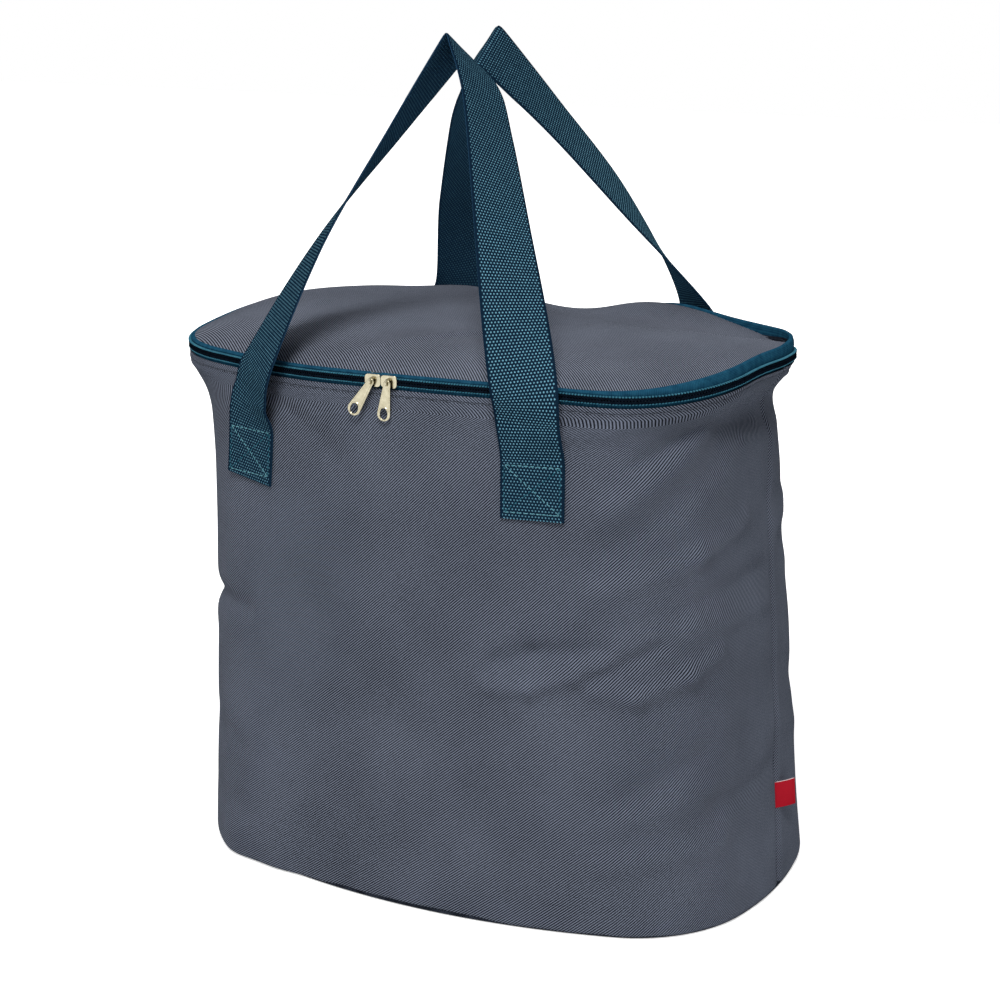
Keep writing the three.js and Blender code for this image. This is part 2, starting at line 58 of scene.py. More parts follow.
# %% Camera
azimuth, elevation, roll = np.radians((29.03, 19.22, -1.2))
away = np.array([
    np.sin(azimuth) * np.cos(elevation), -np.cos(azimuth) * np.cos(elevation), np.sin(elevation)])
level = np.array([np.cos(azimuth), np.sin(azimuth), 0.0])
upright = np.cross(away, level)
across = np.cos(roll) * level + np.sin(roll) * upright
up = np.cos(roll) * upright - np.sin(roll) * level
aim, distance = np.array([0.0, 0.0, 0.170]), 1.61495
eye = aim + distance * away
camera = bpy.data.objects.new("camera", bpy.data.cameras.new("camera"))
camera.data.lens = 81.31
camera.data.sensor_width = 36.0
camera.data.sensor_fit = "HORIZONTAL"
camera.data.shift_x = 0.0124
camera.data.shift_y = 0.1096
camera.matrix_world = Matrix(np.vstack([np.column_stack([across, up, away, eye]), [0, 0, 0, 1]]).tolist())
bpy.context.scene.collection.objects.link(camera)
bpy.context.scene.camera = camera
print("camera at", eye.round(3).tolist())

# %% [markdown]
# ## Node graphs in a few words
# A woven finish is arithmetic on the cloth's own coordinates. Wiring it by hand takes many lines, so
# short helpers add a node, do one sum, start a finish with its cloth coordinates in millimetres, and
# dress its shader.

# %% Helpers for finishes
def add(tree, kind, *values, **settings):
    """Adds a node, with values or sockets for its inputs in order and settings on the node itself."""
    node = tree.nodes.new("ShaderNode" + kind)
    for key, value in settings.items():
        setattr(node, key, value)
    for socket, value in zip(node.inputs, values):
        if isinstance(value, bpy.types.NodeSocket):
            tree.links.new(value, socket)
        elif value is not None:
            socket.default_value = value
    return node


def calc(tree, operation, *values):
    """One sum of numbers or sockets."""
    return add(tree, "Math", *values, operation=operation).outputs[0]


def linear(red, green, blue):
    """Colour as seen on a screen, 0 to 255, to the linear colour of a shader."""
    seen = np.array([red, green, blue]) / 255
    return (*np.where(seen < 0.04, seen / 12.92, ((seen + 0.055) / 1.055) ** 2.4), 1.0)


def finish(name, roughness, shine=0.0, **sockets):
    """New material: its tree, its shader, and the cloth's u and v in millimetres.

    Cloth mirrors nothing, so shine stays 0 unless a finish asks for it."""
    material = bpy.data.materials.new(name)
    material.use_nodes = True
    tree = material.node_tree
    shader = tree.nodes["Principled BSDF"]
    shader.inputs["Roughness"].default_value = roughness
    shader.inputs["Specular IOR Level"].default_value = shine
    for key, value in sockets.items():
        shader.inputs[key.replace("_", " ")].default_value = value
    place = add(tree, "UVMap", uv_map="cloth").outputs[0]
    parts = add(tree, "SeparateXYZ", place).outputs
    u = calc(tree, "MULTIPLY", parts[0], 1000.0)
    v = calc(tree, "MULTIPLY", parts[1], 1000.0)
    return material, tree, shader, u, v


def wave(tree, value, pitch):
    """Sine of a length, from 0 to 1, with the pitch in the length's own unit."""
    turn = calc(tree, "MULTIPLY", value, 2 * np.pi / pitch)
    return calc(tree, "MULTIPLY_ADD", calc(tree, "SINE", turn), 0.5, 0.5)


def mottle(tree, scale, detail=3.0):
    """Soft blotches from 0 to 1 on the object's own coordinates; scale is blotches a metre."""
    where = add(tree, "TexCoord").outputs["Object"]
    noise = add(tree, "TexNoise", where)
    noise.inputs["Scale"].default_value = scale
    noise.inputs["Detail"].default_value = detail
    return noise.outputs["Fac"]


def dress(tree, shader, shade, dark, light, height, depth, strength=0.6):
    """Gives a shader a colour from dark to light, by shade, and a bump with its depth in millimetres."""
    mix = add(tree, "Mix", shade, data_type="RGBA")
    mix.inputs[6].default_value = linear(*dark)
    mix.inputs[7].default_value = linear(*light)
    tree.links.new(mix.outputs[2], shader.inputs["Base Color"])
    bump = add(tree, "Bump")
    bump.inputs["Strength"].default_value = strength
    bump.inputs["Distance"].default_value = depth / 1000
    tree.links.new(height, bump.inputs["Height"])
    tree.links.new(bump.outputs[0], shader.inputs["Normal"])


print("half grey on a screen is", round(float(linear(128, 128, 128)[0]), 3), "in a shader")

# %% [markdown]
# ## Twill
# The cloth is a grey-blue twill: its diagonal rib comes from each thread stepping one place along in
# every row. A picture would do from one distance only. A sine across the diagonal, broken by a second
# one along it, gives ribs at the true pitch of under two millimetres, and blotches keep it from looking
# printed.

# %% Twill
def twill(name, dark, light, slope, pitch=1.42):
    """Ribs at slope degrees: height = sine across the rib, notched by a sine along it."""
    material, tree, shader, u, v = finish(name, 0.8, Sheen_Weight=0.03, Sheen_Roughness=0.5)
    c, s = np.cos(np.radians(slope)), np.sin(np.radians(slope))
    over = calc(tree, "SUBTRACT", calc(tree, "MULTIPLY", v, c), calc(tree, "MULTIPLY", u, s))
    along = calc(tree, "ADD", calc(tree, "MULTIPLY", u, c), calc(tree, "MULTIPLY", v, s))
    rib = wave(tree, over, pitch)
    notch = wave(tree, calc(tree, "MULTIPLY_ADD", over, 0.5, along), 1.0)
    yarn = calc(tree, "MULTIPLY", rib, calc(tree, "MULTIPLY_ADD", notch, 0.25, 0.75))
    tone = calc(tree, "MULTIPLY_ADD", mottle(tree, 14.0), 0.3, -0.15)
    fuzz = calc(tree, "MULTIPLY_ADD", mottle(tree, 900.0, 2.0), 0.24, -0.12)
    shade = calc(tree, "ADD", calc(tree, "ADD", yarn, tone), fuzz)
    dress(tree, shader, shade, dark, light, yarn, 0.5, 0.8)
    return material


body_twill = twill("body_twill", (4, 5, 9), (131, 139, 157), 40.0)
lid_twill = twill("lid_twill", (4, 5, 9), (141, 148, 165), -40.0)
print("made", body_twill.name, lid_twill.name)

# %% [markdown]
# ## Webbing
# Strong handles are woven from thick yarn: light floats sit in a brick pattern on a dark ground, with a
# plain selvedge at each edge. Past the strap's middle the floats get a painted highlight, and the far
# sewn end gets painted shade. The inner face is a second finish from the same function, with ground and
# floats closer in tone: painted shade for the face that lies in shade.

# %% Webbing
web_width, selvedge = 42.5, 1.6
float_across, float_along = 2.2, 2.0
float_reach_u, float_reach_v = 0.31, 0.35


def webbing_finish(name, ground, floats, amount):
    """Brick grid of floats, every other row moved half a step; a float is 1 minus distance squared."""
    material, tree, shader, u, v = finish(name, 0.6)
    rows = calc(tree, "DIVIDE", v, float_along)
    step = calc(tree, "MULTIPLY", calc(tree, "FLOORED_MODULO", calc(tree, "FLOOR", rows), 2.0), 0.5)
    places = calc(tree, "ADD", calc(tree, "DIVIDE", u, float_across), step)
    cell_u = calc(tree, "SUBTRACT", calc(tree, "FRACT", places), 0.5)
    cell_v = calc(tree, "SUBTRACT", calc(tree, "FRACT", rows), 0.5)
    far_u = calc(tree, "POWER", calc(tree, "DIVIDE", calc(tree, "ABSOLUTE", cell_u), float_reach_u), 2.0)
    far_v = calc(tree, "POWER", calc(tree, "DIVIDE", calc(tree, "ABSOLUTE", cell_v), float_reach_v), 2.0)
    knob = calc(tree, "MAXIMUM", calc(tree, "SUBTRACT", 1.0, calc(tree, "ADD", far_u, far_v)), 0.0)
    middle = calc(tree, "ABSOLUTE", calc(tree, "SUBTRACT", u, web_width / 2))
    inside = calc(tree, "LESS_THAN", middle, web_width / 2 - selvedge)
    knob = calc(tree, "MULTIPLY", knob, inside)
    tone = calc(tree, "MULTIPLY_ADD", mottle(tree, 240.0, 2.0), 0.9, 0.3)
    # painted highlight: the floats are lighter past the strap's middle, where light catches the yarn;
    # painted shade darkens the far sewn end again
    painted_highlight = add(tree, "MapRange", v, 330.0, 520.0, 0.0, 0.45, interpolation_type="SMOOTHSTEP").outputs[0]
    painted_end_shade = add(tree, "MapRange", v, 600.0, 650.0, 0.0, -0.35, interpolation_type="SMOOTHSTEP").outputs[0]
    tone = calc(tree, "ADD", tone, calc(tree, "ADD", painted_highlight, painted_end_shade))
    shade = calc(tree, "MULTIPLY", calc(tree, "MULTIPLY", knob, tone), amount)
    cross = wave(tree, v, 1.0)
    height = calc(tree, "ADD", knob, calc(tree, "MULTIPLY", cross, 0.25))
    dress(tree, shader, shade, ground, floats, height, 0.35, 0.7)
    return material


web_outer = webbing_finish("webbing", (16, 35, 52), (114, 170, 192), 0.9)
# painted shade: the inner face's copy of the webbing, with ground and floats closer in tone
web_inner_shade = webbing_finish("webbing_inner_shade", (32, 60, 84), (92, 146, 168), 0.8)
print("made", web_outer.name, web_inner_shade.name)

# %% [markdown]
# ## Smaller finishes
# Zip tape, coil, thread, binding, tag, liner, foam and metal each get their own weave, grain or wear.
# They share one pattern: two colours, ribs along or across the piece, and blotches.

# %% Smaller finishes
def ribbed(name, dark, light, roughness, pitch_u, pitch_v, depth, grain=200.0, **sockets):
    """Ribs along u and v multiplied, with blotches mixed in."""
    material, tree, shader, u, v = finish(name, roughness, **sockets)
    weave = calc(tree, "MULTIPLY", wave(tree, u, pitch_u), wave(tree, v, pitch_v))
    tone = calc(tree, "MULTIPLY_ADD", mottle(tree, grain), 0.8, -0.2)
    shade = calc(tree, "MULTIPLY_ADD", weave, 0.6, tone)
    dress(tree, shader, shade, dark, light, weave, depth)
    return material


def grained(name, dark, light, roughness, scale, depth, **sockets):
    """Blotches alone, fine or coarse, for film, foam, plastic and plate."""
    material, tree, shader, _, _ = finish(name, roughness, **sockets)
    grain = mottle(tree, scale, 5.0)
    shade = calc(tree, "MULTIPLY_ADD", grain, 2.0, -0.5)
    dress(tree, shader, shade, dark, light, grain, depth, 0.4)
    return material


zip_tape = ribbed("zip_tape", (14, 48, 70), (46, 104, 132), 0.75, 1.1, 0.9, 0.12)
zip_coil = grained("zip_coil", (5, 9, 15), (18, 28, 40), 0.45, 600.0, 0.05)
zip_thread = ribbed("zip_thread", (36, 88, 110), (88, 150, 168), 0.65, 0.5, 0.7, 0.05)
seam_thread = ribbed("seam_thread", (70, 126, 140), (136, 188, 198), 0.6, 0.5, 0.7, 0.05)
# painted shade: a darker copy of the seam thread, for box lines that catch less light
shaded_thread = ribbed("shaded_thread", (24, 68, 86), (62, 122, 138), 0.6, 0.5, 0.7, 0.05)
hem_thread = ribbed("hem_thread", (72, 78, 90), (128, 134, 146), 0.7, 0.5, 0.7, 0.05)
binding = ribbed("binding_tape", (22, 26, 34), (62, 68, 80), 0.8, 1.6, 0.9, 0.15)
base_cloth = ribbed("base_cloth", (20, 23, 30), (58, 64, 76), 0.85, 1.4, 1.4, 0.2)
tag_cloth = ribbed("tag_cloth", (156, 18, 34), (198, 42, 56), 0.55, 0.9, 0.6, 0.06, 40.0)
tag_fold = ribbed("tag_fold", (205, 170, 172), (240, 225, 226), 0.6, 2.4, 0.6, 0.06, 300.0)
foam = grained("foam", (214, 211, 202), (244, 242, 236), 0.9, 900.0, 0.25)
liner_film = grained("liner_film", (176, 180, 186), (208, 211, 215), 0.32, 40.0, 0.6,
                     shine=0.5, Metallic=0.25)
nickel = grained("zip_metal", (158, 151, 128), (182, 176, 153), 0.22, 300.0, 0.02,
                 shine=0.5, Metallic=1.0)
print("finishes:", len(bpy.data.materials))

# %% [markdown]
# ## Meshes from whole arrays
# Almost every piece here is a row of closed sections: a band's section runs along its outside and back
# along its inside. One function joins such sections into a closed solid, another closes a dome with a
# point at each end. Both take the cloth's coordinates with them, so weaves follow the cut.

# %% Helpers for meshes
def put(name, points, faces, cloth, finishes, body, slot, nodes=(), choice=None, crease=40.0):
    """Mesh object from points in mm, arrays of corner numbers, and the cloth place of each corner.

    The sum of first corner times face area is the solid's volume: below 0 all faces are turned round."""
    corners = points[faces[0]]
    areas = np.cross(corners[:, 1], corners[:, 2]) + np.cross(corners[:, 2], corners[:, -1])
    if np.einsum("ij,ij->", corners[:, 0], areas) < 0:
        faces = [f[:, ::-1] for f in faces]
        cloth = [c[:, ::-1] for c in cloth]
    mesh = bpy.data.meshes.new(name)
    mesh.from_pydata((points / 1000).tolist(), [], [f for part in faces for f in part.tolist()])
    layer = mesh.uv_layers.new(name="cloth")
    layer.data.foreach_set("uv", np.concatenate([c.reshape(-1) for c in cloth]) / 1000)
    for material in finishes if isinstance(finishes, tuple) else (finishes,):
        mesh.materials.append(material)
    if choice is not None:
        mesh.polygons.foreach_set("material_index", choice)
    mesh.shade_smooth()
    mesh.set_sharp_from_angle(angle=np.radians(crease))
    piece = bpy.data.objects.new(name, mesh)
    bpy.context.scene.collection.objects.link(piece)
    if body:
        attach(piece, body)
    if nodes:
        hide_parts(*nodes)
    print(f"{name}: {len(mesh.polygons)} faces")
    return piece


# %% Sections and domes
def lofted(sections, cloth, ring=False):
    """Faces and cloth corners of sections[s, k]: k closes on itself, and s too where it is a ring."""
    s, k = sections.shape[:2]
    i, j = np.meshgrid(np.arange(s if ring else s - 1), np.arange(k), indexing="ij")
    corner = np.stack([np.stack(c, -1) for c in ((i, j), (i, j + 1), (i + 1, j + 1), (i + 1, j))], 2)
    corner = corner.reshape(-1, 4, 2)
    if not ring:
        h = np.arange(k // 2 - 1)
        cap = np.stack([k - 1 - h, k - 2 - h, h + 1, h], -1)
        first = np.stack([np.zeros_like(cap), cap], -1)
        last = np.stack([np.full_like(cap, s - 1), cap[:, ::-1]], -1)
        corner = np.concatenate([corner, first, last])
    faces = (corner[..., 0] % s) * k + corner[..., 1] % k
    return [faces], [cloth[corner[..., 0], corner[..., 1]]]


def loft(name, sections, cloth, *looks, ring=False, **more):
    """A piece from its sections; looks are finish, body, slot and the nodes it replaces. The slot is not
    used.
    """
    return put(name, sections.reshape(-1, 3), *lofted(sections, cloth, ring), *looks, **more)


def domed(rings):
    """Points, faces and plan places of rings[i, j] from a top point to a bottom one."""
    n, m = rings.shape[:2]
    points = np.concatenate([rings.reshape(-1, 3), rings[:1].mean(1), rings[-1:].mean(1)])
    i, j = np.meshgrid(np.arange(n - 1), np.arange(m), indexing="ij")
    k = (j + 1) % m
    quads = np.stack([i * m + j, (i + 1) * m + j, (i + 1) * m + k, i * m + k], -1).reshape(-1, 4)
    j = np.arange(m)
    k = (j + 1) % m
    top = np.stack([np.full(m, n * m), j, k], -1)
    bottom = np.stack([np.full(m, n * m + 1), (n - 1) * m + k, (n - 1) * m + j], -1)
    faces = [quads, top, bottom]
    return points, faces, [points[f][..., :2] for f in faces]


tube = lofted(np.zeros((5, 8, 3)), np.zeros((6, 9, 2)), True)[0][0]
print("a ring of 5 sections with 8 places has", len(tube), "faces")

# %% Sums on whole arrays
def unit(vectors):
    """Vectors made 1 long."""
    return vectors / np.linalg.norm(vectors, axis=-1, keepdims=True)


def joined(*numbers):
    """Points from arrays of their coordinates, brought to one shape."""
    return np.stack(np.broadcast_arrays(*numbers), -1)


def grid(rows, columns):
    """Every pair of a row's number and a column's number."""
    return np.stack(np.meshgrid(rows, columns, indexing="ij"), -1)


def lengths(line):
    """Length along a line of points, counted from its start."""
    return np.concatenate([[0], np.cumsum(np.linalg.norm(np.diff(line, axis=0), axis=1))])


def smooth(value, low, high):
    """Smooth step from 0 at low to 1 at high."""
    share = np.clip((value - low) / (high - low), 0, 1)
    return share * share * (3 - 2 * share)


print("a smooth step at a quarter of its way:", smooth(0.25, 0, 1))

# %% [markdown]
# ## The plan of the bag
# Seen from above, the bag is an oval of tangent arcs: flat front and back, tight corners, rounder ends.
# A place on it is counted in quarters: 0 at the right end, 1 at the back, 2 at the left end, 3 at the
# front. The photographed bag leans a little to the right and its back rim sags, and both are added
# here, once.

# %% Plan
front_radius, end_radius, corner_radius = 520.0, 240.0, 90.0
quarter = 298.0  # length of a quarter of the rim
end_share, corner_share = 0.162, 0.487
rim_length, rim_depth, rim_shift = 213.0, 132.5, 3.0


def oval(half_x, half_y, turn):
    """Point and outward direction: a quarter is an end arc, a corner arc and a long arc, all tangent."""
    half_x, half_y, turn = np.broadcast_arrays(half_x, half_y, turn)
    which = np.floor(turn).astype(int) % 4
    share = turn - np.floor(turn)
    share = np.where(which % 2 == 0, share, 1 - share)
    side_y, end_x = half_y - front_radius, half_x - end_radius
    apart = np.hypot(end_x, side_y)
    along_x, along_y = end_x / apart, -side_y / apart
    reach = front_radius - corner_radius
    foot = (reach**2 - (end_radius - corner_radius) ** 2 + apart**2) / (2 * apart)
    off = np.sqrt(reach**2 - foot**2)
    corner_x, corner_y = along_x * foot + along_y * off, side_y + along_y * foot - along_x * off
    to_side = np.arctan2(corner_y - side_y, corner_x)
    to_end = np.arctan2(corner_y, corner_x - end_x)
    on_end, on_corner = share < end_share, share < corner_share
    corner_angle = to_end + (to_side - to_end) * (share - end_share) / (corner_share - end_share)
    side_angle = to_side + (np.pi / 2 - to_side) * (share - corner_share) / (1 - corner_share)
    angle = np.where(on_end, to_end * share / end_share, np.where(on_corner, corner_angle, side_angle))
    radius = np.where(on_end, end_radius, np.where(on_corner, corner_radius, front_radius))
    x = np.where(on_end, end_x, np.where(on_corner, corner_x, 0)) + radius * np.cos(angle)
    y = np.where(on_end, 0, np.where(on_corner, corner_y, side_y)) + radius * np.sin(angle)
    sign_x = np.where((which == 0) | (which == 3), 1, -1)
    sign_y = np.where(which < 2, 1, -1)
    return x * sign_x, y * sign_y, np.cos(angle) * sign_x, np.sin(angle) * sign_y


print("a quarter of the rim:", quarter, "mm")

# %% Sag, pinch and rim
def apart_from(turn, place):
    """Quarters between a turn and a place, the short way round."""
    return (turn - place + 2) % 4 - 2


def near(turn, place, wide):
    """1 at a place, dying away on both sides: exp(-(quarters away / wide) squared)."""
    return np.exp(-((apart_from(turn, place) / wide) ** 2))


def rim_lift(turn):
    """Height of the rim's line: it hangs between the back straps and drops at the right back corner.

    Each dip says where, how high and how wide."""
    dips = (
        (0.97, -9.5, 0.2), (1.45, -3.0, 0.22), (0.7, 3.0, 0.1), (1.27, 2.4, 0.1), (0.44, -10.0, 0.18),
        (3.56, -2.8, 0.17), (3.92, 3.4, 0.14), (2.7, -1.8, 0.2), (2.2, -2.5, 0.25))
    return sum(rise * near(turn, at, wide) for at, rise, wide in dips)


def pinch(turn, z):
    """How far the right end is drawn in under the zip."""
    under = smooth(-z, -364, -354) * (1 - smooth(-z, -340, -314))
    return 6.5 * under * near(turn, 0.0, 0.36)


tape_from, tape_to = 369.0, 375.0


def tape_top(turn):
    """Height of the upper tape's top: low in front and left, where the lid's cloth reaches the coil."""
    past = apart_from(turn, 3)
    right = smooth(past, 0.42, 0.82) * (1 - smooth(past, 1.3, 1.9))
    return 370.8 + 4.8 * right + 3.2 * np.exp(-((apart_from(turn, 1) / 0.8) ** 4))


def rim(turn, inset, z):
    """Point of the rim, inset mm inside its outline. The tape's heights are fitted under its top."""
    fitted = tape_from + (z - tape_from) * (tape_top(turn) - tape_from) / (tape_to - tape_from)
    z = np.where(z > tape_from, fitted, z)
    x, y, out_x, out_y = oval(rim_length, rim_depth, turn)
    inset = inset + pinch(turn, z)
    x, y = x - out_x * inset + rim_shift, y - out_y * inset
    return joined(x, y, z + rim_lift(turn))


print("rim at the right back corner:", round(float(rim_lift(0.44)), 1), "mm")

# %% [markdown]
# ## Folds in the walls
# Foam keeps the walls up, but the cloth over it creases where the bag was folded flat. A cloth
# simulation makes folds of its own choosing; to have these folds, each is written down as a line on the
# cloth with a height and a width, and a smooth hump follows it. A valley is a hump of negative height.

# %% Folds
fold_gain = 1.6
front_folds = np.array([
    # from p, z to p, z, half width, height; p runs along the cloth from the wall's middle
    (71, 169, 105, 171, 6, 2.0), (105, 171, 141, 183, 6, 2.2), (141, 183, 164, 191, 6, 2.0),
    (79, 187, 107, 195, 7, -2.0), (107, 195, 160, 200, 7, -2.2), (150, 181, 198, 201, 5, -2.2),
    (155, 172, 180, 169, 7, 2.0), (180, 169, 217, 180, 7, 2.2), (217, 180, 242, 190, 7, 1.8),
    (164, 239, 231, 257, 9, 2.0), (231, 257, 279, 269, 8, 1.6), (170, 268, 250, 314, 11, -1.8),
    (172, 293, 238, 335, 9, 2.0), (190, 322, 245, 346, 7, -1.5), (221, 209, 304, 206, 8, 1.5),
    (232, 228, 302, 230, 8, -1.4), (150, 212, 215, 222, 9, -1.0),
    (147, 50, 235, 62, 9, 1.3), (160, 82, 228, 100, 9, 1.2), (172, 104, 222, 124, 9, -1.2),
    (232, 84, 296, 90, 8, -1.3), (-300, 186, -158, 190, 8, -2.8), (-300, 164, -162, 174, 10, 0.4),
    (-210, 92, -158, 86, 9, -1.3), (-205, 40, -150, 36, 10, -1.2), (-92, 336, -54, 312, 10, -1.3),
    (0, 346, 0, 302, 22, 0.8), (130, 342, 168, 346, 5, 1.8), (250, 336, 300, 330, 8, -1.2),
    (284, 318, 340, 311, 8, 1.0), (300, 280, 360, 262, 9, -0.8), (300, 160, 372, 128, 10, -0.8),
    (304, 240, 372, 214, 9, 0.6), (300, 120, 380, 92, 9, 0.6),
    (-160, -6, -160, 14, 24, 3.4), (-122, -6, -122, 12, 26, 2.4), (-50, -6, 40, -6, 18, -1.0),
], float)
back_folds = np.array([
    (-170, 178, -96, 196, 9, 2.0), (-176, 198, -100, 214, 9, -2.2), (40, 150, 130, 138, 10, 1.8),
    (36, 170, 136, 160, 9, -1.8), (60, 300, 160, 262, 10, 1.5), (64, 320, 168, 286, 9, -1.5),
    (-200, 92, -110, 70, 10, 1.6), (-206, 110, -116, 92, 9, -1.5), (150, 90, 226, 66, 9, 1.5),
    (-120, 300, -40, 282, 12, -1.2), (190, 200, 262, 186, 9, -1.6), (-262, 250, -180, 270, 9, 1.6),
], float)
print("folds:", len(front_folds), "in front,", len(back_folds), "behind")

# %% The wall's surface
def humps(p, z, lines):
    """Sum over lines of height times exp(-(distance to the line / width) squared)."""
    total = np.zeros(np.broadcast_shapes(p.shape, z.shape))
    for p0, z0, p1, z1, wide, high in lines:
        dp, dz = p1 - p0, z1 - z0
        share = np.clip(((p - p0) * dp + (z - z0) * dz) / (dp * dp + dz * dz), 0, 1)
        total += high * np.exp(-((p - p0 - share * dp) ** 2 + (z - z0 - share * dz) ** 2) / wide**2)
    return total


def right_seam(z):
    """Turn of the right end seam, which drifts back towards the top."""
    return 0.004 + 0.105 * z / 353


def half_length(z):
    """Half the wall's length: wide at the base, drawn in at 320 mm, wider again at the rim."""
    below = 198.5 + 18.5 * (np.clip(320 - z, 0, None) / 320) ** 1.6
    above = 198.5 + 13.0 * np.clip((z - 320) / 33, 0, 1) ** 2
    drawn = 1.8 * smooth(z, 170, 240) + 0.7 * smooth(z, 260, 330) - 3.0 * smooth(z, 336, 356)
    return np.where(z <= 320, below, above) - drawn


def half_depth(z):
    """Half the wall's depth: it narrows evenly to the hem."""
    return 141.5 - 10.0 * np.clip(z / 353, 0, 1)


def lean(z):
    """How far the wall has leant to the right at a height."""
    return 9.6 - 2.2 * smooth(z, 150, 270) - 4.4 * smooth(z, 280, 361)


left_seam = 2.0
seam_depth, seam_width = 2.0, 2.4
ripple_height = 0.35


def wall(turn, z, inset=0.0):
    """Wall point: the oval of its height, pushed out by folds and in by inset, with lean and sag."""
    x, y, out_x, out_y = oval(half_length(z), half_depth(z), turn)
    quiet = 1 - smooth(z, 335, 353)
    front = humps(quarter * apart_from(turn, 3), z, front_folds)
    back = humps(quarter * apart_from(turn, 1), z, back_folds)
    ripple = np.sin(turn * 31 + z / 37) * np.sin(z / 23 - turn * 17)
    out = ((front + back) * fold_gain + ripple_height * ripple) * quiet - inset - pinch(turn, z)
    for edge in (right_seam(z), left_seam):
        out = out - seam_depth * np.exp(-((quarter * apart_from(turn, edge) / seam_width) ** 2))
    z = z + rim_lift(turn) * smooth(z, 250, 361)
    return np.stack([x + out_x * out + lean(z), y + out_y * out, z], -1)


print("front of the wall, half way up:", wall(np.array(3.0), np.array(180.0)).round(1).tolist())

# %% [markdown]
# ## Walls
# Each wall is one panel that turns in under the base. The front panel reaches round both corners to the
# end seams. A section runs up the outside and down the inside, so a panel is one closed solid of cloth
# thickness. Above the hem's fold the cloth is doubled back, so its weave runs the other way.

# %% A panel's section
cloth_thick, base_bend = 1.2, 4.0
hem_fold, hem_line = 348.0, 357.0
bend = np.radians(np.linspace(70, 8, 6))
hem_rows = np.array([350, 352.6, 353.4, 355, 356.2, hem_line, 357.8, 359, 361])
panel_z = np.concatenate([
    base_bend - base_bend * np.sin(bend), np.linspace(base_bend, hem_fold, 130), hem_rows])
panel_in = np.concatenate([base_bend - base_bend * np.cos(bend), np.zeros(131), np.full(8, -0.4)])
panel_in[panel_z == hem_line] = 0.3  # the stitches draw the hem in


def run_length(turn):
    """True length along the wall at mid height, from the right end, for the weave's places."""
    steps = np.linspace(0, 5, 4001)
    x, y, _, _ = oval(half_length(np.array(180.0)), half_depth(np.array(180.0)), steps)
    length = np.concatenate([[0], np.cumsum(np.hypot(np.diff(x), np.diff(y)))])
    return np.interp(turn, steps, length)


def wall_piece(start, end, columns, z, inset, thick):
    """Sections along the turn: outside upwards, then inside downwards."""
    share = np.linspace(0, 1, columns)[:, None]
    up = np.concatenate([z, z[::-1]])[None]
    depth = np.concatenate([inset, inset[::-1] + thick])[None]
    turn = start(up) + (end(up) - start(up)) * share
    sections = wall(turn, up, depth)
    weave_z = np.where(up > hem_fold, 2 * hem_fold - up, up)
    cloth = joined(run_length(turn), weave_z)
    return sections, np.concatenate([cloth, cloth[:, :1]], 1)


print("places up a panel:", len(panel_z))

# %% Outer panels
slack = 0.02 / quarter
spans = {
    "front": (lambda z: left_seam + slack + 0 * z, lambda z: 4 + right_seam(z) - slack, 240),
    "back": (lambda z: right_seam(z) + slack, lambda z: left_seam - slack + 0 * z, 180),
}
for side, (start, end, columns) in spans.items():
    panel = wall_piece(start, end, columns, panel_z, panel_in, cloth_thick)
    loft(f"{side}_panel", *panel, body_twill, "bag", "body_twill", [f"{side}_outer_panel"])

# %% [markdown]
# ## Foam and liner
# Behind the cloth lie a foam sheet and a shiny liner. They follow the same folds, only deeper in, and
# show when the lid is open.

# %% Foam and liner
foam_in, foam_thick = 3.6, 3.9
liner_outside, liner_inside = 7.8, 8.6
inner_z = np.linspace(12.4, 352.4, 40)
for side, (start, end, _) in spans.items():
    sheet = wall_piece(start, end, 120, inner_z, np.full(40, foam_in), foam_thick)
    layer = loft(f"{side}_foam_sheet", *sheet, foam, "bag", "foam", [f"{side}_foam"])

turns = np.linspace(0, 4, 201)[:, None]
up = np.concatenate([inner_z, inner_z[::-1]])[None]
depth = np.concatenate([np.full(40, liner_outside), np.full(40, liner_inside)])[None]
sections = wall(turns[:-1], up, depth)
cloth = joined(quarter * turns, np.append(up, up[0, 0])[None])
loft("liner_wall", sections, cloth, liner_film, "bag", "liner_film", ["wall_liner"], ring=True)

# %% [markdown]
# ## Base
# The base is coloured dark, with a coarse weave, and its edge comes up to meet the walls as the dark
# line along the bottom. Foam and liner lie on it. Rings from the middle outwards and back again make
# each plate.

# %% Base
def plate(edge_in, bottom, top, turned=0.0):
    """Rings of a plate: out along the top, round the edge, back along the bottom.

    The edge lies edge_in mm inside the wall and is turned up by turned mm."""
    around = np.linspace(0, 4, 161)[:-1]
    shares = np.linspace(0.04, 1, 14)
    foot = np.array(base_bend)
    x, y, out_x, out_y = oval(half_length(foot), half_depth(foot), around)
    x, y = x - out_x * edge_in, y - out_y * edge_in
    level = np.concatenate([np.full(13, top), [top + turned, bottom + 0.6], np.full(14, bottom)])
    drawn_in = 1 - 1.2 / 200
    reach = np.concatenate([shares[:13], [1, 1.0], shares[::-1] * drawn_in])
    x, y = reach[:, None] * x + lean(0.0), reach[:, None] * y
    return joined(x, y, level[:, None])


for name, rings, cloth_finish, slot, node in (
    ("base_panel", plate(0.9, 0.0, 1.2, 1.6), base_cloth, "body_twill", "base_outer_panel"),
    ("base_foam_sheet", plate(9.0, 1.5, 11.5), foam, "foam", "base_foam"),
    ("liner_base", plate(9.2, 11.8, 12.6), liner_film, "liner_film", "base_liner"),
):
    piece = put(name, *domed(rings), cloth_finish, "bag", slot, [node])

# %% [markdown]
# ## Bands round the rim
# Tapes, bindings and the hinge strip all run round the rim with a small section of their own. A section
# is a line of places, inset and height, with a thickness, and it is carried along the turn. The two metal
# stops at the zip's ends are made in the same way.

# %% A band round the rim
hinge_turn = 1 + 78.3 / quarter
run = quarter * (6 - 2 * hinge_turn)
zip_turns = np.linspace(hinge_turn, 6 - hinge_turn, 420)
whole_turns = np.linspace(0, 4, 421)


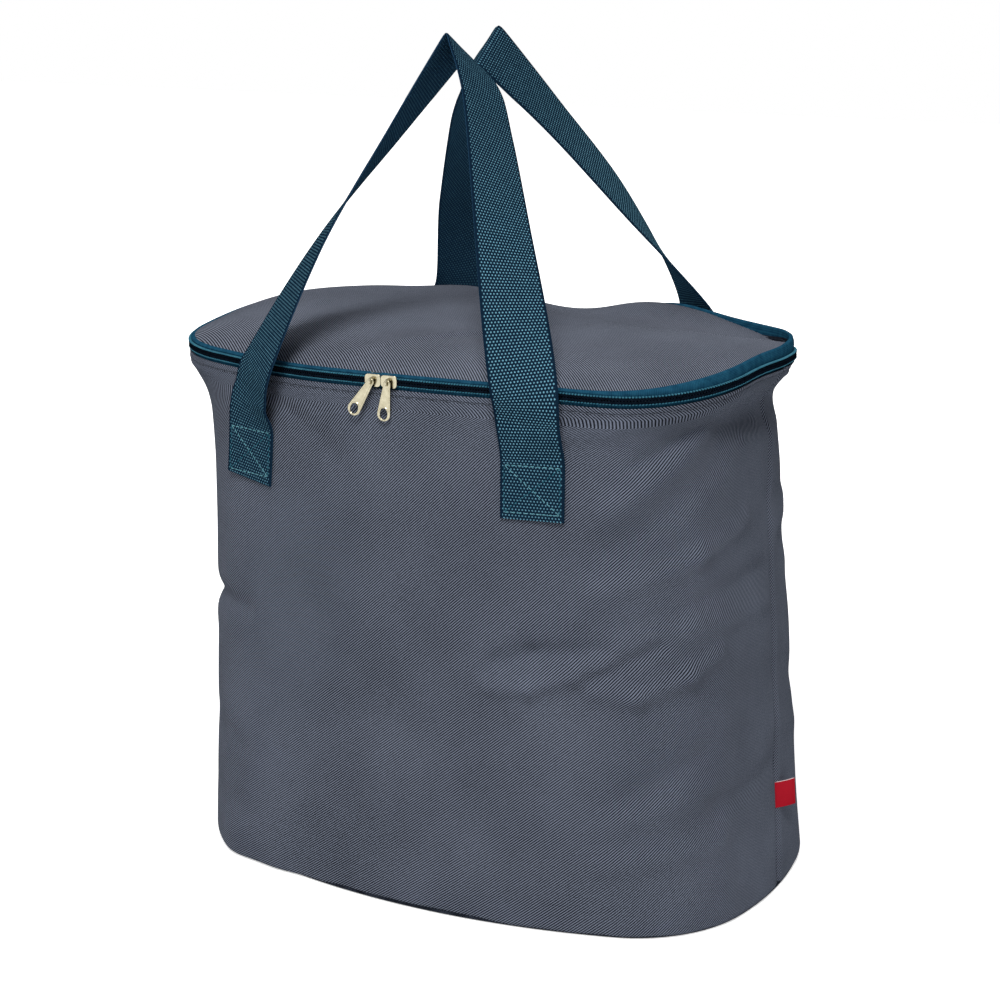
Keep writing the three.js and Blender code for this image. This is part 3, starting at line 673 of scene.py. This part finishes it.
def band(turns, line, thick, ring=False):
    """Sections of a strip: line[k] = inset and height of its outer face, thickened to the inside."""
    line = np.array(line, float)
    step = unit(np.gradient(line, axis=0))
    inner = line + thick * np.stack([step[:, 1], -step[:, 0]], -1)
    loop = np.concatenate([line, inner[::-1]])
    sections = rim((turns[:-1] if ring else turns)[:, None], loop[None, :, 0], loop[None, :, 1])
    length = lengths(loop)
    return sections, grid(quarter * turns, np.append(length, length[-1]))


print("length of the zip:", round(run), "mm")

# %% Tapes and bindings
lower_line = [(2.9, 354), (2.7, 358), (2.5, 361), (2.4, 363), (2.3, 365.4)]
upper_line = [(2.3, 367.6), (2.3, 369.5), (2.1, 371.2), (2.3, 372.5), (3.0, 374.3), (4.4, 375.0),
              (5.6, 374.4), (6.0, 372.8), (6.1, 370.6)]
hem_roll = [(3.4, 352.8), (3.3, 355.4), (4.2, 356.6), (8.6, 356.7), (9.6, 355.6), (9.5, 352.8)]
lid_roll = [(5.4, 373.0), (5.2, 368.4), (5.9, 366.5), (8.4, 366.4), (9.1, 368.0), (9.1, 372.4)]
for name, turns, line, thick, ring, cloth_finish, body, slot, node in (
    ("lower_tape", zip_turns, lower_line, 0.6, False, zip_tape, "bag", "zip_tape", "lower_zip_tape"),
    ("upper_tape", zip_turns, upper_line, 0.6, False, zip_tape, "lid", "zip_tape", "upper_zip_tape"),
    ("hem_binding", whole_turns, hem_roll, 0.8, True, binding, "bag", "binding_tape", "rim_binding"),
    ("lid_edging", whole_turns, lid_roll[::-1], 0.8, True, binding, "lid", "binding_tape", "lid_binding"),
):
    sections, cloth = band(turns, line, thick, ring)
    if name == "upper_tape":  # it stands up at the right back corner
        stand = 4.0 * near(turns, 0.46, 0.2)[:, None]
        sections[..., 2] += stand * smooth(sections[..., 2] - rim_lift(turns)[:, None], 369.5, 375.0)
    loft(name, sections, cloth, cloth_finish, body, slot, [node], ring=ring)

# %% Zip stops and hinge strip
stop_line = [(2.2, 363.3), (0.3, 363.2), (-0.1, 363.6), (-0.1, 365.5), (0.3, 365.9), (2.2, 365.8)]
half_stop = 0.006
for name, turn in (("left", hinge_turn - half_stop), ("right", 2 - hinge_turn + half_stop)):
    stop = band(np.linspace(turn - half_stop, turn + half_stop, 5), stop_line[::-1], 0.5)
    loft(f"{name}_stop", *stop, nickel, "bag", "zip_metal", [f"{name}_zip_stop"], crease=60)

hinge_line = [(2.9, 354), (2.6, 358), (2.3, 362), (2.2, 366), (2.3, 369.5), (2.1, 371.2), (2.3, 372.5),
              (3.0, 374.3), (4.4, 375.0), (6.2, 374.0)]
strip = band(np.linspace(2 - hinge_turn, hinge_turn, 80), hinge_line, 0.9)
hinge = loft("hinge_strip", *strip, body_twill, None, "body_twill",
             ["lower_hinge_strip", "upper_hinge_strip"])
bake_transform(hinge)

# %% [markdown]
# ## Coils
# A coil zip is one thick thread wound like a spring round a cord and sewn to the edge of each tape, and
# the two springs lock into each other. A helix flattened towards the tape, swept by a thin round section,
# makes each one; the upper starts half a turn later, so the loops interleave. A stitch holds each loop.

# %% Coils
coil_pitch, coil_inset, coil_deep, coil_tall, wire = 2.0, 1.15, 0.62, 1.15, 0.42
cord_inset, cord_deep, cord_tall = 1.25, 0.55, 0.9


def coil(middle, start):
    """Helix round the rim line: inset and height turn about the middle once a pitch; 4-sided section."""
    steps = int(run / coil_pitch) * 9
    along = np.linspace(0, 1, steps)
    phase = 2 * np.pi * (along * run / coil_pitch + start)
    turn = hinge_turn + along * (6 - 2 * hinge_turn)
    path = rim(turn, coil_inset - coil_deep * np.cos(phase), middle + coil_tall * np.sin(phase))
    tangent = unit(np.gradient(path, axis=0))
    inward = rim(turn, 3.0, middle) - rim(turn, 1.0, middle)
    side = unit(np.cross(tangent, inward))
    third = np.cross(tangent, side)
    angles = np.radians((45, 135, 225, 315))
    round_ = side[:, None] * np.cos(angles)[:, None] + third[:, None] * np.sin(angles)[:, None]
    return path[:, None] + wire * round_, grid(along * run, np.arange(5.0))


def core(middle):
    """Cord inside a coil: an oval section of eight corners carried along the zip."""
    angle = np.radians(np.arange(0, 360, 45))
    inset, z = cord_inset + cord_deep * np.cos(angle), middle + cord_tall * np.sin(angle)
    return rim(zip_turns[:, None], inset, z), grid(quarter * zip_turns, np.arange(9.0))


for side, middle, start, body in (("lower", 364.9, 0.0, "bag"), ("upper", 367.2, 0.5, "lid")):
    loft(f"{side}_coil", *coil(middle, start), zip_coil, body, "zip_coil", [f"{side}_zip_coil"],
         crease=80)
    loft(f"{side}_coil_cord", *core(middle), zip_coil, body, "zip_coil")

# %% Coil stitches
def stitches(name, middles, along, outward, size, thread, body, slot):
    """Small pods: four rings of five points each, long, wide and high as size says."""
    along = unit(along)
    outward = unit(outward - along * np.sum(outward * along, axis=1, keepdims=True))
    side = np.cross(along, outward)
    angle = 2 * np.pi * np.arange(5) / 5
    places = np.array([-1.0, -0.55, 0.55, 1.0])
    swell = np.array([0.35, 1.0, 1.0, 0.35])
    pods = (
        middles[:, None, None]
        + along[:, None, None] * (places * size[0] / 2)[:, None, None]
        + side[:, None, None] * (swell[:, None] * np.cos(angle) * size[1] / 2)[..., None]
        + outward[:, None, None] * (swell[:, None] * np.sin(angle) * size[2] / 2)[..., None]
    )
    count = len(middles)
    i, j = np.meshgrid(np.arange(3), np.arange(5), indexing="ij")
    k = (j + 1) % 5
    quads = np.stack([i * 5 + j, i * 5 + k, (i + 1) * 5 + k, (i + 1) * 5 + j], -1).reshape(-1, 4)
    ends = np.array([[4, 3, 2, 1, 0], [15, 16, 17, 18, 19]])
    base = (20 * np.arange(count))[:, None, None]
    faces = [(quads + base).reshape(-1, 4), (ends + base).reshape(-1, 5)]
    points = pods.reshape(-1, 3)
    place = np.stack([np.tile(np.repeat(places * size[0], 5), count), np.tile(angle, 4 * count)], -1)
    return put(name, points, faces, [place[f] for f in faces], thread, body, slot, crease=80)


dots = np.linspace(hinge_turn + 0.003, 6 - hinge_turn - 0.003, int(run / coil_pitch))
dot_inset, dot_size = 1.25, (1.4, 1.2, 2.4)
for side, z, body in (("lower", 363.7, "bag"), ("upper", 368.4, "lid")):
    middles = rim(dots, dot_inset, z)
    ahead = rim(dots + 0.002, dot_inset, z) - middles
    outward = rim(dots, dot_inset - 1, z) - middles
    stitches(f"{side}_coil_stitches", middles, ahead, outward, dot_size, zip_thread, body, "zip_tape")
print("coil stitches on each tape:", len(dots))

# %% [markdown]
# ## Hem
# Under the zip a row of short stitches holds the panels' hem. It follows the line where the cloth is
# drawn in, so the stitches sit in a shallow groove.

# %% Hem stitches
hem_pitch, hem_off = 3.4, -0.55
hem = np.linspace(0, 4, int(4 * quarter / hem_pitch), endpoint=False)
hem_z = np.full(len(hem), hem_line)
middles = wall(hem, hem_z, hem_off)
ahead = wall(hem + 0.003, hem_z, hem_off) - middles
outward = wall(hem, hem_z, -1.5) - middles
stitches("hem_stitches", middles, ahead, outward, (2.4, 0.55, 0.4), hem_thread, "bag", "body_twill")
print("hem stitches:", len(hem))

# %% [markdown]
# ## Lid
# The lid is a crowned pad. Its cloth rises from the zip tape, with a ridge that runs from the sliders to
# the middle, a hollow by the right strap and a dip at the back. Rings from the middle to the edge carry
# the height, and the foam and liner below take the same rings, drawn in.

# %% The lid's surface
lid_folds = np.array([
    # from x, y to x, y, half width, height
    (-46, -128, 30, -51, 6, 1.9), (-62, -100, 6, -20, 24, -0.8), (150, -119, 176, -84, 7, 1.6),
    (176, -84, 197, -31, 7, 1.6), (60, -56, 124, -112, 24, -2.8), (-129, -37, -131, 4, 8, 1.8),
    (44, 20, 98, 112, 26, 2.4), (70, -6, 140, 56, 22, -1.6), (-150, -70, -60, -30, 30, 1.5),
    (-120, 40, -40, 60, 34, -1.5), (-170, 10, -130, 70, 24, 1.4),
    (8, 118, 40, 66, 36, -7.0), (130, 90, 170, 60, 30, -3.0),
], float)


def lid_height(x, y, share):
    """Edge height plus a crown, with ridges that die out at the edge, and less crown at the back."""
    turn = np.arctan2(y / rim_depth, (x - rim_shift) / rim_length) / (np.pi / 2) % 4
    back_corner, front = near(turn, 0.42, 0.25), near(turn, 3.1, 0.6)
    roll = 381.0 - tape_top(turn) + (1.5 * front - 3.6 * back_corner) * smooth(share, 0.1, 0.75)
    crown = 4.0 * (1 - share**2) + roll * (1 - share**10)
    edge = tape_top(turn) - 0.5 + (rim_lift(turn) - 3.0 * back_corner) * share**2
    return edge + crown + humps(x, y, lid_folds) * (1 - share**6)


def lid_layer(edge_in, drop, thick, shares, around=220):
    """Rings out along the top and back underneath, drop below the lid's face."""
    turn = np.linspace(0, 4, around + 1)[:-1]
    edge = rim(turn, edge_in, 0.0)
    share = np.concatenate([shares, shares[::-1]])[:, None]
    x = rim_shift + share * (edge[:, 0] - rim_shift)
    y = share * edge[:, 1]
    under = drop + thick * (1 - 0.7 * shares[::-1] ** 60)
    below = np.concatenate([np.full(len(shares), drop), under])[:, None]
    return np.stack([x, y, lid_height(x, y, share) - below], -1)


centre = np.zeros(1)
print("the lid's middle is", round(float(lid_height(centre, centre, centre)[0]), 1), "mm up")

# %% Lid cloth, foam and liner
fine = np.concatenate([np.linspace(0.02, 0.94, 56), [0.96, 0.975, 0.985, 0.993, 1.0]])
coarse = np.linspace(0.03, 1, 24)
rings = lid_layer(4.8, 0.0, cloth_thick, fine)
put("lid_panel", *domed(rings), lid_twill, "lid", "lid_twill", ["lid_outer_panel"])
rings = lid_layer(9.6, 1.5, 5.6, coarse, 120)
put("lid_foam_sheet", *domed(rings), foam, "lid", "foam", ["lid_foam"])
rings = lid_layer(9.6, 7.4, 0.8, coarse, 120)
put("liner_lid", *domed(rings), liner_film, "lid", "liner_film", ["lid_liner"])

# %% [markdown]
# ## Handles
# Each handle is one length of webbing: sewn flat to the panel, over the zip, up to a peak and down again.
# A strap can't be a curve with a round bevel: it turns its flat face as it rises. So its middle line and
# its width direction are both worked out, and a flat section with thin selvedges is carried along them.
# The lower end stays on the bag, the loop folds with its own body, and the stretch between is shared.

# %% A strap's line
box_bottom, box_top, wall_top = 285.0, 322.0, 358.0
strap_off, strap_half, sewn_rows, span_rows, mitre_rows = 1.1, 0.8, 12, 20, 12


def on_wall(x, z, off, side_y):
    """Point off mm in front of the wall or rim at x and z, on the front (-1) or the back (1)."""
    level = np.minimum(z, wall_top)
    angle = np.arcsin((x - lean(level)) / front_radius)
    arc_end = np.full(np.shape(level), corner_share - 1e-6)
    _, _, edge_x, edge_y = oval(half_length(level), half_depth(level), arc_end)
    share = angle / np.arctan2(edge_x, edge_y)
    point = wall(2 - side_y - side_y * (1 - corner_share) * share, level, -off)
    point[..., 2] += z - level
    return point


def through(points, rows):
    """Smooth line through points: a cubic in each span, whose slopes are the chords of the neighbours."""
    ends = np.concatenate([2 * points[:1] - points[1:2], points, 2 * points[-1:] - points[-2:-1]])
    place = np.linspace(0, len(points) - 1, (len(points) - 1) * rows + 1)
    i = np.minimum(place.astype(int), len(points) - 2)
    u = (place - i)[:, None]
    a, b, c, d = ends[i], ends[i + 1], ends[i + 2], ends[i + 3]
    return b + 0.5 * u * (c - a + u * (2 * a - 5 * b + 4 * c - d + u * (3 * (b - c) + d - a)))


def on_box(box, across, z, off, side_y):
    """Point on a sewn end, across mm right of its middle.

    A box is its x at the bottom, its x at the top and the turn of its width in degrees."""
    turn = np.radians(box[2])
    way = np.array([np.cos(turn), np.sin(turn), 0.0]) * np.sign(np.cos(turn))
    return on_wall(np.interp(z, (box_bottom, box_top), box[:2]), z, off, side_y) + np.outer(across, way)


def strand(side_y, box, stations):
    """Middle line, width direction and mitre share from the sewn end to the apex.

    A station is x, y, z and where the width points: degrees round from x, then degrees up."""
    z = np.linspace(box_bottom, box_top, sewn_rows)
    flat = np.tile((box[2], 0.0), (sewn_rows, 1))
    sewn = np.concatenate([on_box(box, 0 * z, z, strap_off, side_y), flat], 1)
    free = through(np.concatenate([sewn[[2, -1]], stations]), span_rows)[span_rows:]
    line = np.concatenate([sewn[:-1], free])
    round_, tilt = np.radians(line[:, 3:]).T
    width = np.stack([np.cos(round_) * np.cos(tilt), np.sin(round_) * np.cos(tilt), np.sin(tilt)], -1)
    last = len(line) - 1
    return line[:, :3], width, smooth(np.arange(len(line)), last - mitre_rows, last)


print("points in a span of a strap:", span_rows)

# %% Handles
def strap(left, right):
    """Closed solid of a whole handle: flat section, thinner at the selvedges, mitred at the apex."""
    middles, widths, mitre = (np.concatenate([a, b[::-1][1:]]) for a, b in zip(left, right))
    apex = len(left[0]) - 1
    for _ in range(2):
        middles[1:-1] = 0.25 * middles[:-2] + 0.5 * middles[1:-1] + 0.25 * middles[2:]
    rising, falling = np.gradient(middles[: apex + 1], axis=0), np.gradient(middles[apex:], axis=0)
    tangent = unit(np.concatenate([rising, falling[1:]]))
    square = widths - tangent * np.sum(tangent * widths, axis=1, keepdims=True)
    narrow = np.linalg.norm(square, axis=1, keepdims=True)
    widths = (square * (1 - mitre[:, None]) + widths * mitre[:, None]) / narrow
    face = np.cross(tangent, square / narrow)
    face[apex] = unit(face[apex - 1] + face[apex + 1])
    places = np.array([-1, -0.97, -0.9, -0.6, -0.3, 0, 0.3, 0.6, 0.9, 0.97, 1])
    swell = np.array([0.35, 0.75, 1, 1, 1, 1, 1, 1, 1, 0.75, 0.35])
    w = np.concatenate([places, places[::-1]]) * web_width / 2
    t = strap_half * np.concatenate([-swell, swell[::-1]])
    sections = middles[:, None] + widths[:, None] * w[:, None] + face[:, None] * t[:, None]
    place = np.append(w, w[0]) + web_width / 2
    return sections, grid(lengths(middles), place)[..., ::-1]


boxes = {"front": ((-116, -112, -13), (103, 103, 190)), "back": ((-107, -105, 193), (105, 104, -10))}
front_left = strand(-1, boxes["front"][0], [
    (-107.5, -125, 345, -28, 0), (-92.5, -127.5, 378, -35, -4), (-61.5, -98, 450, -53, 5),
    (-30, -52.5, 515, -69, 17), (-3, -19.5, 566, -82, 26.5)])
front_right = strand(-1, boxes["front"][1], [
    (102.5, -128.5, 345, 187, 0), (100.5, -131, 378, 202, 6), (72, -97, 450, 233, 15),
    (38, -52.5, 515, 250, 21), (20, -33, 544.5, 260, 18), (-3, -19.5, 566, 278, 26.5)])
back_left = strand(1, boxes["back"][0], [
    (-101, 126, 345, 205, 0), (-87.5, 130, 378, 226, -3), (-74, 103, 450, 258, -10),
    (-50, 61.5, 515, 288, -20), (-4.5, 23.5, 562.5, 272.5, -32)])
back_right = strand(1, boxes["back"][1], [
    (104, 127.5, 345, -16, 0), (99, 130.5, 378, -34, -7), (61, 98, 450.5, -63, -21),
    (22.5, 60, 515, -80, -17), (-4.5, 23.5, 562.5, -87.5, -32)])
handles = {"front": (front_left, front_right), "back": (back_left, back_right)}
for side, (left, right) in handles.items():
    sections, cloth = strap(left, right)
    rows, places = sections.shape[:2]
    inner = (np.arange(places) >= places // 2 - 1).astype(int)
    choice = np.concatenate([np.tile(inner, rows - 1), np.zeros(places - 2, int)])
    nodes = [f"{side}_handle_loop", f"{side}_left_strap_end", f"{side}_right_strap_end"]
    handle = loft(f"{side}_handle_strap", sections, cloth, (web_outer, web_inner_shade), None, "webbing", nodes,
                  choice=choice, crease=60)
    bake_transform(handle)

# %% [markdown]
# ## Crossed boxes
# Each strap end is sewn with a box and a cross, in a light thread. The stitches are separate pods, laid
# on the strap's face along the box's lines. The upright lines and one diagonal get painted shade: a
# darker copy of the same thread, for lines that catch less light.

# %% Box stitches
half_wide, half_high, box_middle, stitch_pitch = 18.5, 15.5, 305.0, 3.9
# lines across the box keep the light thread; the upright lines and one diagonal get the painted shade
lit_lines = [(-1, -1, 1, -1), (1, 1, -1, 1), (-1, 1, 1, -1)]
shaded_lines = [(1, -1, 1, 1), (-1, 1, -1, -1), (-1, -1, 1, 1)]


def box_places(ends):
    """Points along lines of the box, in strap places from -1 to 1, and their directions."""
    found = []
    for a, b, c, d in ends:
        count = int(np.hypot((c - a) * half_wide, (d - b) * half_high) / stitch_pitch)
        share = (np.arange(count) + 0.5)[:, None] / count
        step = np.array([[c - a, d - b]])
        found.append(np.concatenate([np.array([[a, b]]) + step * share, np.tile(step, (count, 1))], 1))
    return np.concatenate(found)


def box_stitches(name, ends, thread, side_y, side):
    """Stitches of both boxes on one panel."""
    lines = box_places(ends)
    across, z = lines[:, 0] * half_wide, box_middle + lines[:, 1] * half_high
    here, there, above = (
        np.concatenate([
            on_box(box, across + step * lines[:, 2], z + step * lines[:, 3], off, side_y)
            for box in boxes[side]])
        for step, off in ((0, 2.0), (1, 2.0), (0, 3.0)))
    stitches(name, here, there - here, above - here, (2.9, 0.7, 0.5), thread, "bag", "webbing")


for side_y, side in ((-1, "front"), (1, "back")):
    box_stitches(f"{side}_box_stitches", lit_lines, seam_thread, side_y, side)
    box_stitches(f"{side}_shaded_stitches", shaded_lines, shaded_thread, side_y, side)

# %% [markdown]
# ## Metal
# The sliders keep their solids, because their shape is right, and a weld and a small bevel take the hard
# edges off. The pulls are pressed from plate, with a raised rim round the edge and round the hole that
# plain solids lack, so each is drawn anew as a ring of metal between its outline and its hole.

# %% Sliders
for node in ("left_slider", "right_slider"):
    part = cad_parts[node]
    part.data.materials.clear()
    part.data.materials.append(nickel)
    weld = part.modifiers.new("weld", "WELD")
    weld.merge_threshold = 0.00001
    bevel = part.modifiers.new("bevel", "BEVEL")
    bevel.width = 0.00045
    bevel.segments = 3
    bevel.limit_method = "ANGLE"
    bevel.angle_limit = np.radians(30)
    print(node, "with edges taken off by", round(bevel.width * 1000, 2), "mm")

# %% Pulls
arc_middle, zip_height, pull_off = 387.5, 366.5, 3.3
pull_top, top_radius, low_radius = -0.7, 2.3, 4.7
hole_wide, hole_high, hole_lift = 2.8, 3.7, 0.3
sliders_meet, from_meeting = -0.2, 5.95


def pull_place(local, slant, at):
    """Points of a pull, x along the zip and z up, turned by its slant and put on the front arc."""
    c, s = np.cos(slant), np.sin(slant)
    x, y, z = local[..., 0], local[..., 1] - pull_off - front_radius, local[..., 2]
    x, z = c * x + s * z, c * z - s * x
    turn = np.arcsin(at / front_radius)
    c, s = np.cos(turn), np.sin(turn)
    return np.stack([c * x - s * y, s * x + c * y + arc_middle, z + zip_height], -1)


def pull_plate(length):
    """Pressed plate: the hull of a small top circle and a large bottom one, with an oval hole.

    A section goes round the metal: in from the outline or out from the hole, and depth."""
    turn = np.linspace(0, 2 * np.pi, 73)[:-1]
    way = np.stack([np.cos(turn), np.sin(turn)], -1)
    middle = low_radius - length
    on_top = way[:, 1] * (pull_top - middle) > low_radius - top_radius
    radius = np.where(on_top, top_radius, low_radius)
    height = np.where(on_top, pull_top, middle)
    rims = [(0, None, 0.35), (0, None, -0.35), (0.3, None, -0.7), (0.9, None, -0.7), (1.2, None, -0.45),
            (None, 1.1, -0.45), (None, 0.8, -0.7), (None, 0.3, -0.7), (None, 0, -0.35), (None, 0, 0.35),
            (None, 0.3, 0.6), (0.3, None, 0.6)]
    sections = []
    for inward, outward, depth in rims:
        if outward is None:
            x, z = (radius - inward) * way[:, 0], height + (radius - inward) * way[:, 1]
        else:
            x = (hole_wide + outward) * way[:, 0]
            z = middle + hole_lift + (hole_high + outward) * way[:, 1]
        sections.append(np.stack([x, np.full(len(x), depth), z], -1))
    return np.stack(sections, 1)


for name, slant, at, length in (
    ("left", 35.0, sliders_meet - from_meeting, 28.5),
    ("right", 9.0, sliders_meet + from_meeting, 26.0),
):
    sections = pull_place(pull_plate(length), np.radians(slant), at)
    cloth = grid(np.arange(73.0), np.arange(13.0))
    loft(f"{name}_pull_plate", sections, cloth, nickel, f"{name}_pull", "zip_metal", [f"{name}_pull"],
         ring=True, crease=30)

# %% [markdown]
# ## Tag
# A small red tag is caught in the right end seam: a ribbon folded once, with its pale edge on top. It is
# left bare. Its line bows a little, as folded ribbon does.

# %% Tag
tag_length = 17.0


def ribbon(top, bottom, out, bow):
    """Folded ribbon: out along one face, round the fold and back, carried from bottom to top."""
    share = np.concatenate([np.linspace(0, 1, 12), np.linspace(1, 0, 12)])
    side = np.concatenate([np.full(12, 0.5), np.full(12, -0.5)])
    folded = np.where(share > 0.95, 0.55, 1.0)
    heights = np.linspace(bottom, top, 8)
    root = wall(right_seam(heights), heights, 0.6)
    ahead = np.array([np.cos(np.radians(out)), np.sin(np.radians(out)), 0.0])
    sideways = np.array([ahead[1], -ahead[0], 0.0])
    thick = (side * folded)[None, :, None] * sideways
    curve = (bow * np.sin(np.pi * share))[None, :, None] * sideways
    return root[:, None] + tag_length * share[None, :, None] * ahead + thick + curve, share, heights


sections, share, heights = ribbon(74.0, 56.0, 55.0, 0.8)
cloth = grid(heights, np.append(share, 0) * tag_length)[..., ::-1]
rows, places = sections.shape[:2]
cap = places // 2 - 1
choice = np.repeat([0, 0, 1], [(rows - 1) * places, cap, cap])
loft("red_tag", sections, cloth, (tag_cloth, tag_fold), "bag", "tag_cloth", ["side_tag"],
     choice=choice, crease=30)

# %% [markdown]
# ## Floor and light
# A pale floor and a white surround, with broad soft lamps, are the usual way to show a product. The floor
# glows a little for the camera only, so it looks white while it still takes the bag's shadow.

# %% Floor
def seen(tree):
    """1 for rays from the camera, and for those in mirrors and glass."""
    path = add(tree, "LightPath").outputs
    glossy = calc(tree, "MAXIMUM", path["Is Glossy Ray"], path["Is Transmission Ray"])
    return calc(tree, "MAXIMUM", path["Is Camera Ray"], glossy)


floor_mesh = bpy.data.meshes.new("floor")
floor_corners = [(x, y, -0.0004) for x, y in ((-4, -4), (4, -4), (4, 4), (-4, 4))]
floor_mesh.from_pydata(floor_corners, [], [(0, 1, 2, 3)])
floor = bpy.data.objects.new("floor", floor_mesh)
bpy.context.scene.collection.objects.link(floor)
pale = bpy.data.materials.new("pale_floor")
pale.use_nodes = True
tree = pale.node_tree
shader = tree.nodes["Principled BSDF"]
shader.inputs["Base Color"].default_value = (0.86, 0.86, 0.86, 1)
shader.inputs["Roughness"].default_value = 0.9
shader.inputs["Emission Color"].default_value = (1, 1, 1, 1)
where = add(tree, "TexCoord").outputs["Object"]
far = add(tree, "VectorMath", where, operation="LENGTH").outputs["Value"]
near_glow, glow_gain = 0.42, 0.5
glow = calc(tree, "MINIMUM", calc(tree, "MULTIPLY_ADD", far, glow_gain, near_glow), 1.0)
tree.links.new(calc(tree, "MULTIPLY", seen(tree), glow), shader.inputs["Emission Strength"])
floor_mesh.materials.append(pale)
print("made", floor.name)

# %% Surround
world = bpy.data.worlds.new("surround")
bpy.context.scene.world = world
world.use_nodes = True
background = world.node_tree.nodes["Background"]
background.inputs["Color"].default_value = (1, 1, 1, 1)
on_bag, on_camera = 0.26, 1.0
strength = calc(world.node_tree, "MULTIPLY_ADD", seen(world.node_tree), on_camera - on_bag, on_bag)
world.node_tree.links.new(strength, background.inputs["Strength"])
print("light of the surround on the bag:", on_bag)

# %% Lamps
def lamp(name, place, target, size, power):
    """Square area lamp that looks at a target."""
    light = bpy.data.lights.new(name, "AREA")
    light.size = size
    light.energy = power
    holder = bpy.data.objects.new(name, light)
    back = unit(np.array(place, float) - np.array(target, float))
    side = unit(np.cross((0, 0, 1.0), back))
    turn = np.column_stack([side, np.cross(back, side), back, place])
    holder.matrix_world = Matrix(np.vstack([turn, [0, 0, 0, 1]]).tolist())
    bpy.context.scene.collection.objects.link(holder)


bag_middle = (0, 0, 0.25)
lamp("key", (0.7, -1.8, 2.9), bag_middle, 1.0, 84)
lamp("fill", (-2.6, -1.4, 1.2), bag_middle, 1.8, 10)
lamp("back", (-0.3, 2.7, 1.8), bag_middle, 1.8, 26)
bpy.context.scene.view_settings.view_transform = "Standard"
print("lamps:", len(bpy.data.lights))
